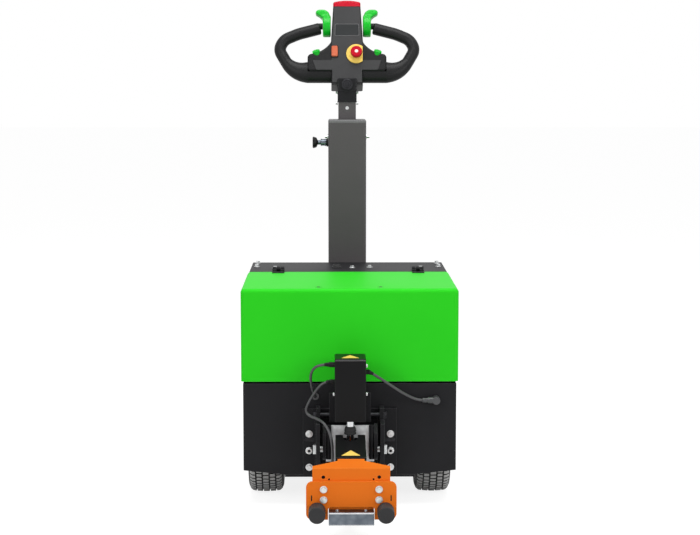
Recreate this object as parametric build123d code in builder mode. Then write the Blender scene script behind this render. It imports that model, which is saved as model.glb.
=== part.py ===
"""Pedestrian electric tow tractor: steel body, hinged hood, tiller column and lifting hitch.

Millimetres, +Z up, +X to the right seen from the hitch end, -Y towards the hitch.
Along the machine, places are given as reach: how far a thing lies ahead of the body's front face.
"""
from build123d import *
import os
from math import atan2, cos, degrees, hypot, radians, sin, tan

os.makedirs("parts", exist_ok=True)

# Body of folded sheet
body_width = 540
body_length = 600
sheet = 4
skirt_rise = 11
arch_gap = 15
arch_margin = 15
arch_band = 30
shelf_gap = 16
pan_plate = 6
pan_side_gap = 6

# Hood
hood_width = 550
hood_length = 367
hood_height = 236
hood_sheet = 3
hood_bend = 10
shut_gap = 5
hood_hole_length = 20
hood_hole_width = 9
hood_hole_spacing = 158
hood_hole_inset = 38

# Hood hinges
hinge_spacing = 380
hinge_width = 33
hinge_leaf = 30
hinge_plate = 2.5
hinge_barrel_r = 6
hinge_pin_r = 3
hinge_side_gap = 0.5

# Drive wheels and axle
tyre_d = 270
tyre_width = 90
tyre_side_gap = 5
tyre_shoulder = 16
rim_r = 56
rim_inset = 8
rim_flange = 6
disc_half = 5
shaft_r = 10
hub_r = 24
hub_flare = 6
hub_inner_gap = 6
running = 0.05
axle_tube_r = 26
gearbox_r = 52
gearbox_width = 96
gearbox_gap = 3
motor_r = 50
motor_length = 105
motor_gap = 8
foot_offset = 110
foot_width = 30

# Batteries
battery_width = 150
battery_depth = 230
battery_height = 185
battery_round = 6
battery_gap = 16
battery_reach = -60
controller_size = (200, 60, 120)
controller_round = 5

# Swivel castor under the operator's end
castor_d = 160
castor_width = 50
castor_trail = 40
castor_edge = 6
castor_rear_gap = 5.4
castor_plate_size = (120, 100)
castor_plate_round = 8
castor_plate_t = 6
castor_headroom = 46
castor_head_r = 38
castor_leg = 6
castor_gap = 6
castor_pin_r = 8
castor_axle_r = 6
castor_nut_rim = 4
castor_hub_wall = 8
castor_core_r = 55
castor_core_inset = 3

# Column and telescopic tube
column_width = 108
column_depth = 100
column_wall = 4
column_bend = 8
column_foot_z = 140
column_top_z = 963
guide_cap = 8
guide_skirt = 40
tube = 50
tube_wall = 4
tube_length = 452
tube_top_z = 1012
tube_slack = 0.3
index_pitch = 49.5
index_count = 5
index_hole_r = 5
index_top_inset = 16
plunger_z = 897

# Tiller head, drawn on its own leaning plane as x across and u along the head
head_lean = 20
head_foot_z = 1041
head_length = 270
head_thick = 56
head_edge = 6
cap_height = 19.5
ear_inner = 27
ear_foot = 12
ear_height = 28
stem_half = 45
wing_half = 113
wing_drop = 216
wing_height = 52.5
neck_half = 46
neck_rise = 36.5
crown_half = 39.5
boss_r = 16
grip_r = 17
grip_end_round = 3
drum_r = 31
drum_width = 23
drum_gap = 0.3

# Hitch bracket on the front panel
hitch_reach = 360
back_plate_width = 238
back_plate_t = 8
back_plate_top = 252
flange_centre = 80
flange_t = 10
flange_top = 260
flange_step = 231
pivot_reach = 40
pivot_z = 155
pivot_r = 8
pivot_head_r = 13
pivot_head_t = 8

# Lift actuator
box_width = 77
box_depth = 85
box_reach = 50
box_bottom = 244
box_top = 400
box_edge = 5
rod_r = 10
rod_reach = 100
rod_stroke_room = 25
rod_inside = 60
eye_r = 16
eye_width = 24
eye_slot = 6
eye_pin_r = 6

# Lift arm and its cover
arm_half = 34
arm_plate = 8
cheek_centre = 64
cheek_t = 8
arm_hub_r = 16
cover_width = 74
cover_plate = 3
cover_far = (115, 208)
cover_near = (250, 181)
cover_drop = 34
cover_notch = 36
shield_top = 224
shield_bottom = 132
shield_reach = 74
shield_t = 4

# Coupler at the arm's front end
coupler_reach = 300
coupler_plate_t = 6
coupler_width = 184
coupler_top = 168
coupler_bottom = 76
front_plate_width = 214
front_plate_top = 138
front_plate_foot = 46
front_cutout = 110
big_hole_r = 4.5
big_hole_spacing = 132
small_hole_r = 2.5
small_hole_spacing = 105
big_hole_z = 147
small_hole_z = 142
slit_inset = 13
slit_z = 98
slit_length = 15
slit_width = 3
buffer_r = 20
buffer_edge = 3
buffer_spacing = 162
buffer_z = 68
lip_width = 107
lip_plate = 4
lip_shelf_z = 70
lip_foot_z = 39
lip_reach = 340

# Reach of the leaning head behind the body, and the front face's place in the part's frame
lean = radians(head_lean)
head_behind = (head_length - head_edge) * sin(lean) + (head_thick / 2 - head_edge) * cos(lean) + head_edge
rear_reach = body_length + column_depth / 2 + head_behind
front_y = (hitch_reach - rear_reach) / 2
column_y = front_y + body_length + column_depth / 2

# Heights and places that follow the wheels
axle_z = tyre_d / 2
arch_r = axle_z + arch_gap
axle_reach = -(arch_r + arch_margin)
track = body_width - 2 * (sheet + tyre_side_gap) - tyre_width
keel_z = axle_z - gearbox_r - gearbox_gap
keel_width = track - tyre_width - 2 * pan_side_gap
skirt_z = keel_z + skirt_rise
waist_z = axle_z + arch_r + arch_band
deck_z = waist_z + shut_gap + hood_height
shelf_z = tyre_d + shelf_gap + sheet
bulkhead_reach = axle_reach - gearbox_r - motor_length - motor_gap
castor_z = castor_d / 2
castor_top_z = castor_d + castor_headroom
castor_swing = hypot(castor_trail + castor_d / 2, castor_width / 2)
castor_reach = castor_swing + castor_rear_gap + sheet - body_length


def across(reach):
    """Plane facing the hitch end, at a reach ahead of the body's front face."""
    return Plane.XZ.offset(reach - front_y)


def side(reach, z):
    """Point of a side view, for sketches on YZ planes."""
    return (front_y - reach, z)


def keep(piece, label):
    """Label a finished piece and write it."""
    piece.label = label
    export_step(piece, f"parts/{label}.step")


# Lower body: front panel, two sides with wheel arches, rear panel
with BuildPart() as front_panel:
    with BuildSketch(across(-sheet)):
        with BuildLine():
            Polyline(
                (-body_width / 2, waist_z),
                (-body_width / 2, skirt_z),
                (-keel_width / 2, keel_z),
                (keel_width / 2, keel_z),
                (body_width / 2, skirt_z),
                (body_width / 2, waist_z),
                close=True,
            )
        make_face()
    extrude(amount=sheet)
keep(front_panel.part, "front_panel")

deck_reach = -(hood_length + shut_gap)
for name, inner_x in (("side_panel_left", -body_width / 2), ("side_panel_right", body_width / 2 - sheet)):
    with BuildPart() as side_panel:
        with BuildSketch(Plane.YZ.offset(inner_x)):
            with BuildLine():
                Polyline(
                    side(-sheet, skirt_z),
                    side(sheet - body_length, skirt_z),
                    side(sheet - body_length, deck_z - sheet),
                    side(deck_reach, deck_z - sheet),
                    side(deck_reach, waist_z),
                    side(-sheet, waist_z),
                    close=True,
                )
            make_face()
            with Locations(side(axle_reach, axle_z)):
                Circle(arch_r, mode=Mode.SUBTRACT)
        extrude(amount=sheet)
    keep(side_panel.part, name)

with BuildPart() as rear_panel:
    with BuildSketch(across(-body_length)):
        with Locations((0, (skirt_z + deck_z - sheet) / 2)):
            Rectangle(body_width, deck_z - sheet - skirt_z)
    extrude(amount=sheet)
keep(rear_panel.part, "rear_panel")

# Rear deck with a folded front edge that the hood closes against
inner_width = body_width - 2 * sheet
deck_fold = 40
with BuildPart() as rear_deck:
    with BuildSketch(Plane.XY.offset(deck_z - sheet)):
        with Locations((0, front_y + (body_length - deck_reach) / 2)):
            Rectangle(body_width, body_length + deck_reach)
    extrude(amount=sheet)
    with BuildSketch(across(deck_reach - sheet)):
        with Locations((0, deck_z - sheet - deck_fold / 2)):
            Rectangle(inner_width, deck_fold)
    extrude(amount=sheet)
keep(rear_deck.part, "rear_deck")

# Battery shelf across the body, keel pan below it and the bulkhead between them
with BuildPart() as battery_shelf:
    with BuildSketch(Plane.XY.offset(shelf_z - sheet)):
        with Locations((0, front_y + body_length / 2)):
            Rectangle(inner_width, body_length - 2 * sheet)
    extrude(amount=sheet)
keep(battery_shelf.part, "battery_shelf")

with BuildPart() as keel_pan:
    with BuildSketch(Plane.XY.offset(keel_z - pan_plate)):
        with Locations((0, front_y - bulkhead_reach / 2)):
            Rectangle(keel_width, -bulkhead_reach)
    extrude(amount=pan_plate)
keep(keel_pan.part, "keel_pan")

with BuildPart() as bulkhead:
    with BuildSketch(across(bulkhead_reach - pan_plate)):
        with Locations((0, (keel_z - pan_plate + shelf_z - sheet) / 2)):
            Rectangle(keel_width, shelf_z - sheet - keel_z + pan_plate)
    extrude(amount=pan_plate)
keep(bulkhead.part, "bulkhead")

# Batteries and the motor controller under the hood
with BuildPart() as batteries:
    with BuildSketch(Plane.XY.offset(shelf_z)):
        with Locations((0, front_y - battery_reach + battery_depth / 2)):
            with GridLocations(battery_width + battery_gap, 0, 2, 1):
                RectangleRounded(battery_width, battery_depth, battery_round)
    extrude(amount=battery_height)
keep(batteries.part, "batteries")

with BuildPart() as controller:
    with BuildSketch(Plane.XY.offset(shelf_z)):
        with Locations((0, front_y - deck_reach + sheet + controller_size[1])):
            RectangleRounded(controller_size[0], controller_size[1], controller_round)
    extrude(amount=controller_size[2])
keep(controller.part, "controller")

# Transaxle on feet over the keel pan: gearbox, axle tubes and shafts, with the motor behind
hub_face = track / 2 - tyre_width / 2
tube_end = hub_face - hub_inner_gap
with BuildPart() as transaxle:
    with BuildSketch(Plane.YZ.offset(-gearbox_width / 2)):
        with Locations(side(axle_reach, axle_z)):
            Circle(gearbox_r)
    extrude(amount=gearbox_width)
    with BuildSketch(Plane.YZ.offset(-tube_end)):
        with Locations(side(axle_reach, axle_z)):
            Circle(axle_tube_r)
    extrude(amount=2 * tube_end)
    with BuildSketch(Plane.YZ.offset(-track / 2 - hub_r)):
        with Locations(side(axle_reach, axle_z)):
            Circle(shaft_r)
    extrude(amount=track + 2 * hub_r)
    with BuildSketch(Plane.XY.offset(keel_z)):
        with Locations((0, front_y - axle_reach)):
            with GridLocations(2 * foot_offset, 0, 2, 1):
                Rectangle(foot_width, 2 * axle_tube_r)
    extrude(amount=axle_z - keel_z)
keep(transaxle.part, "transaxle")

with BuildPart() as drive_motor:
    with BuildSketch(across(axle_reach - gearbox_r - motor_length)):
        with Locations((0, axle_z)):
            Circle(motor_r)
    extrude(amount=motor_length)
keep(drive_motor.part, "drive_motor")

# Drive wheels: pressed rim on the shaft, and a tyre whose shoulders fall away in two steps
rim_half = tyre_width / 2 - rim_inset
hub_start = hub_inner_gap - tyre_width / 2
tread_half = tyre_width / 2 - tyre_shoulder
shoulder_step = 0.3 * tyre_shoulder
for side_name, centre_x in (("left", -track / 2), ("right", track / 2)):
    wheel_frame = Plane(
        origin=(centre_x, front_y - axle_reach, axle_z), x_dir=(1, 0, 0), z_dir=(0, -1, 0)
    )
    with BuildPart() as rim:
        with BuildSketch(wheel_frame):
            with BuildLine():
                Polyline(
                    (hub_start, shaft_r + running),
                    (rim_half, shaft_r + running),
                    (rim_half, hub_r),
                    (disc_half, hub_r + hub_flare),
                    (disc_half, rim_r - rim_flange),
                    (rim_half, rim_r - rim_flange),
                    (rim_half, rim_r),
                    (-rim_half, rim_r),
                    (-rim_half, rim_r - rim_flange),
                    (-disc_half, rim_r - rim_flange),
                    (-disc_half, hub_r + hub_flare),
                    (hub_start, hub_r),
                    close=True,
                )
            make_face()
        revolve(axis=Axis(wheel_frame.origin, (1, 0, 0)))
    keep(rim.part, f"rim_{side_name}")

    with BuildPart() as tyre:
        with BuildSketch(wheel_frame):
            with BuildLine():
                Polyline(
                    (0, rim_r),
                    (rim_half, rim_r),
                    (tyre_width / 2, rim_r + tyre_shoulder),
                    (tyre_width / 2, tyre_d / 2 - tyre_shoulder),
                    (tyre_width / 2 - shoulder_step, tyre_d / 2 - shoulder_step),
                    (tread_half, tyre_d / 2),
                    (0, tyre_d / 2),
                )
                mirror(about=Plane.YZ)
            make_face()
        revolve(axis=Axis(wheel_frame.origin, (1, 0, 0)))
    keep(tyre.part, f"tyre_{side_name}")

# Castor: mounting plate with kingpin, swivelling fork, axle and wheel
castor_y = front_y - castor_reach
kingpin_drop = 22
with BuildPart() as castor_plate:
    with BuildSketch(Plane.XY.offset(castor_top_z)):
        with Locations((0, castor_y)):
            RectangleRounded(castor_plate_size[0], castor_plate_size[1], castor_plate_round)
    extrude(amount=castor_plate_t)
    with BuildSketch(Plane.XY.offset(castor_top_z - kingpin_drop)):
        with Locations((0, castor_y)):
            Circle(castor_pin_r)
    extrude(amount=kingpin_drop)
keep(castor_plate.part, "castor_plate")

# Cross member that carries the castor, hung from the shelf by two webs
member_t = 6
web_offset = 130
member_depth = 150
with BuildPart() as castor_member:
    with BuildSketch(Plane.XY.offset(castor_top_z + castor_plate_t)):
        with Locations((0, castor_y)):
            Rectangle(2 * web_offset + member_t, member_depth)
    extrude(amount=member_t)
    with BuildSketch(Plane.XY.offset(castor_top_z + castor_plate_t)):
        with Locations((0, castor_y)):
            with GridLocations(2 * web_offset, 0, 2, 1):
                Rectangle(member_t, member_depth)
    extrude(amount=shelf_z - sheet - castor_top_z - castor_plate_t)
keep(castor_member.part, "castor_member")

swivel_gap = 0.5
head_t = 16
fork_inner = castor_width / 2 + castor_gap
wheel_y = castor_y + castor_trail
leg_r = 17
fork_z = castor_top_z - swivel_gap - head_t
with BuildPart() as castor_fork:
    with BuildSketch(Plane.XY.offset(fork_z)):
        with Locations((0, castor_y)):
            Circle(castor_head_r)
        with Locations((0, castor_y + castor_trail / 2)):
            Rectangle(2 * (fork_inner + castor_leg), castor_trail)
        with Locations((0, castor_y)):
            Circle(castor_pin_r + running, mode=Mode.SUBTRACT)
    extrude(amount=head_t)
    for leg_x in (-fork_inner - castor_leg, fork_inner):
        with BuildSketch(Plane.YZ.offset(leg_x)):
            with BuildLine():
                Polyline(
                    (castor_y, fork_z),
                    (wheel_y - leg_r, castor_z),
                    (wheel_y + leg_r, castor_z),
                    (castor_y + castor_trail, fork_z),
                    close=True,
                )
            make_face()
            with Locations((wheel_y, castor_z)):
                Circle(leg_r)
                Circle(castor_axle_r, mode=Mode.SUBTRACT)
        extrude(amount=castor_leg)
keep(castor_fork.part, "castor_fork")

axle_head = 4
with BuildPart() as castor_axle:
    with BuildSketch(Plane.YZ.offset(-fork_inner - castor_leg)):
        with Locations((wheel_y, castor_z)):
            Circle(castor_axle_r)
    extrude(amount=2 * (fork_inner + castor_leg))
    for head_x in (-fork_inner - castor_leg - axle_head, fork_inner + castor_leg):
        with BuildSketch(Plane.YZ.offset(head_x)):
            with Locations((wheel_y, castor_z)):
                RegularPolygon(castor_axle_r + castor_nut_rim, 6)
        extrude(amount=axle_head)
keep(castor_axle.part, "castor_axle")

with BuildPart() as castor_hub:
    with BuildSketch(Plane.YZ.offset(-castor_width / 2 - castor_gap / 2)):
        with Locations((wheel_y, castor_z)):
            Circle(castor_axle_r + castor_hub_wall)
    extrude(amount=castor_width + castor_gap)
    with BuildSketch(Plane.YZ.offset(castor_core_inset - castor_width / 2)):
        with Locations((wheel_y, castor_z)):
            Circle(castor_core_r)
    extrude(amount=castor_width - 2 * castor_core_inset)
    with BuildSketch(Plane.YZ.offset(-castor_width)):
        with Locations((wheel_y, castor_z)):
            Circle(castor_axle_r + running)
    extrude(amount=2 * castor_width, mode=Mode.SUBTRACT)
keep(castor_hub.part, "castor_hub")

with BuildPart() as castor_tyre:
    with BuildSketch(Plane.YZ.offset(-castor_width / 2)):
        with Locations((wheel_y, castor_z)):
            Circle(castor_d / 2)
            Circle(castor_core_r, mode=Mode.SUBTRACT)
    extrude(amount=castor_width)
    chamfer(castor_tyre.edges().filter_by(GeomType.CIRCLE).group_by(SortBy.RADIUS)[-1], castor_edge)
keep(castor_tyre.part, "castor_tyre")

# Hood: folded sheet shell, open below and at the back, with two slots near its front edge
hood_bottom = waist_z + shut_gap
with BuildPart() as hood:
    with BuildSketch(Plane.XY.offset(hood_bottom)):
        with Locations((0, front_y + hood_length / 2)):
            Rectangle(hood_width, hood_length)
    extrude(amount=deck_z - hood_bottom)
    top_edges = hood.faces().sort_by(Axis.Z)[-1].edges()
    front_face = hood.faces().sort_by(Axis.Y)[0]
    upright_edges = front_face.edges().filter_by(Axis.Z)
    rear_edge = top_edges.sort_by(Axis.Y)[-1]
    fillet([edge for edge in top_edges if edge != rear_edge] + list(upright_edges), hood_bend)
    open_faces = [hood.faces().sort_by(Axis.Z)[0], hood.faces().sort_by(Axis.Y)[-1]]
    offset(amount=-hood_sheet, openings=open_faces)
    with BuildSketch(Plane.XY.offset(deck_z - 2 * hood_sheet)):
        with Locations((0, front_y + hood_hole_inset)):
            with GridLocations(hood_hole_spacing, 0, 2, 1):
                SlotOverall(hood_hole_length, hood_hole_width)
    extrude(amount=3 * hood_sheet, mode=Mode.SUBTRACT)
keep(hood.part, "hood")

# Hood hinges: leaves with knuckles on hood and deck, and the pins between
hinge_y = front_y - deck_reach - shut_gap / 2
hinge_z = deck_z + hinge_plate + hinge_barrel_r
knuckle = hinge_width / 3
leaf_span = hinge_leaf + shut_gap / 2


def hinge_leaves(direction, knuckle_xs, knuckle_width, bore_r=0):
    """Two leaves that run from the pin line in the given Y direction, with their knuckles."""
    with BuildPart() as leaves:
        with BuildSketch(Plane.XY.offset(deck_z)):
            with Locations((0, hinge_y + direction * (shut_gap / 2 + hinge_leaf / 2))):
                with GridLocations(hinge_spacing, 0, 2, 1):
                    Rectangle(hinge_width, hinge_leaf)
        extrude(amount=hinge_plate)
        for centre_x in (-hinge_spacing / 2, hinge_spacing / 2):
            for knuckle_x in knuckle_xs:
                with BuildSketch(Plane.YZ.offset(centre_x + knuckle_x - knuckle_width / 2)):
                    with Locations((hinge_y, hinge_z)):
                        Circle(hinge_barrel_r)
                    with Locations((hinge_y + direction * leaf_span / 4, deck_z + hinge_plate)):
                        Rectangle(leaf_span / 2, 2 * hinge_plate, align=(Align.CENTER, Align.MIN))
                    if bore_r:
                        with Locations((hinge_y, hinge_z)):
                            Circle(bore_r, mode=Mode.SUBTRACT)
                extrude(amount=knuckle_width)
    return leaves.part


side_knuckles = (-knuckle, knuckle)
hood_leaves = hinge_leaves(-1, side_knuckles, knuckle - 2 * hinge_side_gap, hinge_pin_r + running)
keep(hood_leaves, "hood_hinge_leaves")

with BuildPart() as deck_hinges:
    add(hinge_leaves(1, (0,), knuckle))
    for centre_x in (-hinge_spacing / 2, hinge_spacing / 2):
        with BuildSketch(Plane.YZ.offset(centre_x - hinge_width / 2)):
            with Locations((hinge_y, hinge_z)):
                Circle(hinge_pin_r)
        extrude(amount=hinge_width)
keep(deck_hinges.part, "deck_hinge_leaves")

# Column on the rear panel, and the guide that closes its top round the telescopic tube
with BuildPart() as column:
    with BuildSketch(Plane.XY.offset(column_foot_z)):
        with Locations((0, column_y)):
            RectangleRounded(column_width, column_depth, column_bend)
            RectangleRounded(
                column_width - 2 * column_wall,
                column_depth - 2 * column_wall,
                column_bend - column_wall,
                mode=Mode.SUBTRACT,
            )
    extrude(amount=column_top_z - guide_cap - column_foot_z)
keep(column.part, "column")

guide_slack = 0.2
guide_round = 5
with BuildPart() as column_guide:
    with BuildSketch(Plane.XY.offset(column_top_z - guide_cap)):
        with Locations((0, column_y)):
            RectangleRounded(column_width, column_depth, column_bend)
    extrude(amount=guide_cap)
    fillet(column_guide.faces().sort_by(Axis.Z)[-1].edges(), guide_round)
    with BuildSketch(Plane.XY.offset(column_top_z - guide_cap - guide_skirt)):
        with Locations((0, column_y)):
            RectangleRounded(
                column_width - 2 * (column_wall + guide_slack),
                column_depth - 2 * (column_wall + guide_slack),
                column_bend - column_wall,
            )
    extrude(amount=guide_skirt)
    with BuildSketch(Plane.XY.offset(column_top_z - guide_cap - guide_skirt)):
        with Locations((0, column_y)):
            Rectangle(tube + 2 * tube_slack, tube + 2 * tube_slack)
    extrude(amount=guide_cap + guide_skirt, mode=Mode.SUBTRACT)
keep(column_guide.part, "column_guide")

# Index plunger: flange, barrel, neck and flared knob, by distance out and radius
plunger_plane = Plane(
    origin=(-column_width / 2, column_y, plunger_z), x_dir=(-1, 0, 0), z_dir=(0, 1, 0)
)
plunger_outline = ((0, 0), (0, 12), (5, 12), (5, 9), (22, 9), (22, 6), (30, 6), (34, 14), (42, 16.5), (45, 15), (45, 0))
with BuildPart() as index_plunger:
    with BuildSketch(plunger_plane):
        with BuildLine():
            Polyline(*plunger_outline, close=True)
        make_face()
    revolve(axis=Axis(plunger_plane.origin, (-1, 0, 0)))
keep(index_plunger.part, "index_plunger")

# Telescopic square tube with its row of index holes
index_top = tube_top_z - index_top_inset
with BuildPart() as tiller_tube:
    with BuildSketch(Plane.XY.offset(tube_top_z - tube_length)):
        with Locations((0, column_y)):
            RectangleRounded(tube, tube, tube_wall / 2)
            Rectangle(tube - 2 * tube_wall, tube - 2 * tube_wall, mode=Mode.SUBTRACT)
    extrude(amount=tube_length)
    with BuildSketch(Plane.XZ.offset(tube / 2 - tube_wall - column_y)):
        with Locations([(0, index_top - row * index_pitch) for row in range(index_count)]):
            Circle(index_hole_r)
    extrude(amount=2 * tube_wall, mode=Mode.SUBTRACT)
keep(tiller_tube.part, "tiller_tube")

# Tiller head: block on the tube, moulded housing, loop grips, cap and controls
head_plane = Plane(
    origin=(0, column_y, head_foot_z), x_dir=(1, 0, 0), z_dir=(0, -cos(lean), sin(lean))
)
head_up = Axis(head_plane.origin, head_plane.y_dir)
head_out = Axis(head_plane.origin, head_plane.z_dir)
crown_u = head_length - cap_height
wing_bottom = head_length - wing_drop
wing_top = wing_bottom + wing_height
neck_u = wing_top + neck_rise
boss_z = 1063
boss_t = 6
with BuildPart() as head_block:
    with BuildSketch(Plane.XY.offset(tube_top_z)):
        with Locations((0, column_y)):
            Rectangle(2 * ear_inner, 2 * ear_inner)
    extrude(amount=head_foot_z - tube_top_z + 2 * ear_inner)
    block_top = Plane(
        origin=head_plane.from_local_coords((0, ear_height, 0)), x_dir=(1, 0, 0), z_dir=head_plane.y_dir
    )
    split(bisect_by=block_top, keep=Keep.BOTTOM)
    with BuildSketch(Plane.XZ.offset(ear_inner - column_y)):
        with Locations((0, boss_z)):
            Circle(boss_r)
    extrude(amount=boss_t)
keep(head_block.part, "head_block")

# The shoulder between wing and neck is one arc that starts level at the wing's end
shoulder_r = ((wing_half - neck_half) ** 2 + (neck_u - wing_top) ** 2) / (2 * (neck_u - wing_top))
wing_round = 12
neck_round = 14
button_r = 11
button_seat = 8
button_angle = radians(18.7)
button_tilt = radians(40)
button_frames = []
for sign in (-1, 1):
    seat_x = sign * (wing_half - shoulder_r * sin(button_angle))
    seat_u = wing_top + shoulder_r * (1 - cos(button_angle))
    upward = head_plane.x_dir * (sign * sin(button_angle)) + head_plane.y_dir * cos(button_angle)
    outward = upward * cos(button_tilt) + head_plane.z_dir * sin(button_tilt)
    seat = head_plane.from_local_coords((seat_x, seat_u, head_thick / 2 - head_edge))
    button_frames.append(Plane(origin=seat - outward * button_seat, z_dir=outward))

with BuildPart() as head_housing:
    with BuildSketch(head_plane.offset(-head_thick / 2)) as head_outline:
        with BuildLine():
            Polyline(
                (0, ear_height),
                (ear_inner, ear_height),
                (ear_inner, ear_foot),
                (stem_half, ear_foot),
                (stem_half, wing_bottom),
                (wing_half, wing_bottom),
                (wing_half, wing_top),
            )
            TangentArc((wing_half, wing_top), (neck_half, neck_u), tangent=(-1, 0))
            Polyline((neck_half, neck_u), (crown_half, crown_u), (0, crown_u))
            mirror(about=Plane.YZ)
        make_face()
        wing_ends = [v for v in head_outline.vertices() if abs(abs(v.X) - wing_half) < 0.01]
        fillet(ShapeList(wing_ends).group_by(Axis.Z)[-1], wing_round)
        fillet([v for v in head_outline.vertices() if abs(abs(v.X) - neck_half) < 0.01], neck_round)
    extrude(amount=head_thick)
    near_end = 1
    for face in (head_housing.faces().sort_by(head_out)[0], head_housing.faces().sort_by(head_out)[-1]):
        rounded = []
        for edge in face.edges():
            height = head_plane.to_local_coords(edge.center()).Y
            if ear_height + near_end < height < crown_u - near_end:
                rounded.append(edge)
        fillet(rounded, head_edge)
    for frame in button_frames:
        with BuildSketch(frame):
            Circle(button_r + guide_slack)
        extrude(amount=4 * button_seat, mode=Mode.SUBTRACT)
keep(head_housing.part, "head_housing")

button_height = 14
with BuildPart() as side_buttons:
    for frame in button_frames:
        with BuildSketch(frame):
            Circle(button_r)
        extrude(amount=button_height)
keep(side_buttons.part, "side_buttons")

cap_side = 14
with BuildPart() as head_cap:
    with BuildSketch(head_plane.offset(-head_thick / 2)):
        with BuildLine():
            Polyline(
                (-crown_half, crown_u + cap_side),
                (-crown_half, crown_u),
                (crown_half, crown_u),
                (crown_half, crown_u + cap_side),
            )
            ThreePointArc((crown_half, crown_u + cap_side), (0, head_length), (-crown_half, crown_u + cap_side))
        make_face()
    extrude(amount=head_thick)
    cap_base = head_cap.faces().sort_by(head_up)[0]
    fillet([edge for edge in head_cap.edges() if edge not in cap_base.edges()], head_edge)
keep(head_cap.part, "head_cap")

# Loop grips: a deep bar under the wing that narrows to a tube, out, up and back to the paddle
bar_u = wing_bottom + 5
bar_rise = 31
bar_half = 24
elbow_place = (149, wing_bottom + 13)
elbow_angle = 24
elbow_rise = 24
elbow_half = 20
loop_rises = ((175, 37), (196, 74), (181, 104), (140, 122), (77, 139))
loop_points = [(x, wing_bottom + rise) for x, rise in loop_rises]
loop_rounds = (30, 40, 150)
stub_r = 9
drum_rise = 56.5
stub_u = neck_u + drum_rise
drum_start = neck_half + drum_gap
drum_end = drum_start + drum_width


def head_section(x, u, angle):
    """Plane that faces along the head's own plane, at an angle up from its x axis."""
    turn = radians(angle)
    along = head_plane.x_dir * cos(turn) + head_plane.y_dir * sin(turn)
    rise = head_plane.y_dir * cos(turn) - head_plane.x_dir * sin(turn)
    return Plane(origin=head_plane.from_local_coords((x, u, 0)), x_dir=rise, z_dir=along)


with BuildPart() as grip_right:
    with BuildSketch(head_section(stem_half, bar_u, 0)):
        Ellipse(bar_rise, bar_half)
        with Locations((wing_bottom - bar_u, 0)):
            Rectangle(2 * bar_rise, 2 * bar_half, align=(Align.MIN, Align.CENTER), mode=Mode.SUBTRACT)
    extrude(amount=wing_half - stem_half)
    loop_rise = loop_points[1][1] - loop_points[0][1]
    loop_angle = degrees(atan2(loop_rise, loop_points[1][0] - loop_points[0][0]))
    with BuildSketch(head_section(wing_half, bar_u, 0)):
        Ellipse(bar_rise, bar_half)
    with BuildSketch(head_section(*elbow_place, elbow_angle)):
        Ellipse(elbow_rise, elbow_half)
    with BuildSketch(head_section(*loop_points[0], loop_angle)):
        Circle(grip_r)
    loft()
    with BuildLine(head_plane) as loop_path:
        FilletPolyline(*loop_points, radius=loop_rounds)
    with BuildSketch(head_section(*loop_points[0], loop_angle)):
        Circle(grip_r)
    sweep(path=loop_path.line)
    loop_end = grip_right.faces().sort_by_distance(loop_path.line @ 1)[0]
    chamfer(loop_end.edges(), grip_end_round)
    with BuildSketch(head_section(drum_end + drum_gap, stub_u, 0)):
        Circle(stub_r)
    extrude(amount=grip_r)
keep(grip_right.part, "grip_right")

with BuildPart() as grip_left:
    mirror(grip_right.part, about=Plane.YZ)
keep(grip_left.part, "grip_left")

# Butterfly paddles: a drum beside the neck on the grip's stub, with an ear that leans outwards
ear_rises = ((47, 4), (48, 30), (53, 42), (64, 49), (82, 49), (90, 44), (90, 36), (79, 30), (71, 22), (69, 12))
ear_outline = [(x, stub_u + rise) for x, rise in ear_rises]
ear_t = 24
ear_edge = 3
ear_round = 4
with BuildPart() as paddle_right:
    with BuildSketch(head_plane.offset(-ear_t / 2)) as ear_face:
        with BuildLine():
            Polyline(*ear_outline, close=True)
        make_face()
        fillet(ear_face.vertices(), ear_round)
    extrude(amount=ear_t)
    for ear_side in (paddle_right.faces().sort_by(head_out)[0], paddle_right.faces().sort_by(head_out)[-1]):
        fillet(ear_side.edges(), ear_edge)
    with BuildSketch(head_section(drum_start, stub_u, 0)):
        Circle(drum_r)
    extrude(amount=drum_width)
keep(paddle_right.part, "paddle_right")

with BuildPart() as paddle_left:
    mirror(paddle_right.part, about=Plane.YZ)
keep(paddle_left.part, "paddle_left")

# Rocker switch, yellow backing disc and stop button on the head's front
head_front = head_plane.offset(head_thick / 2)
rocker_size = (18, 32)
rocker_rise = 58
rocker_place = (-35.5, wing_bottom + rocker_rise)
rocker_t = 7
rocker_round = 4
rocker_bevel = 2
with BuildPart() as rocker:
    with BuildSketch(head_front):
        with Locations(rocker_place):
            RectangleRounded(*rocker_size, rocker_round)
    extrude(amount=rocker_t)
    chamfer(rocker.faces().sort_by(head_out)[-1].edges(), rocker_bevel)
keep(rocker.part, "rocker")

stop_rise = 50.5
stop_place = (26.5, wing_bottom + stop_rise)
disc_r = 28.5
disc_flat = 44.5
disc_t = 5
with BuildPart() as stop_disc:
    with BuildSketch(head_front):
        with Locations(stop_place):
            Circle(disc_r)
        with Locations((disc_flat, stop_place[1])):
            Rectangle(disc_r, 2 * disc_r, align=(Align.MIN, Align.CENTER), mode=Mode.SUBTRACT)
    extrude(amount=disc_t)
keep(stop_disc.part, "stop_disc")

stop_r = 16.5
stop_stem_r = 9
stop_stem = 10
stop_head = 11
stop_round = 4
with BuildPart() as stop_button:
    with BuildSketch(head_front.offset(disc_t)):
        with Locations(stop_place):
            Circle(stop_stem_r)
    extrude(amount=stop_stem)
    with BuildSketch(head_front.offset(disc_t + stop_stem)):
        with Locations(stop_place):
            Circle(stop_r)
    extrude(amount=stop_head)
    fillet(stop_button.faces().sort_by(head_out)[-1].edges(), stop_round)
keep(stop_button.part, "stop_button")

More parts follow.
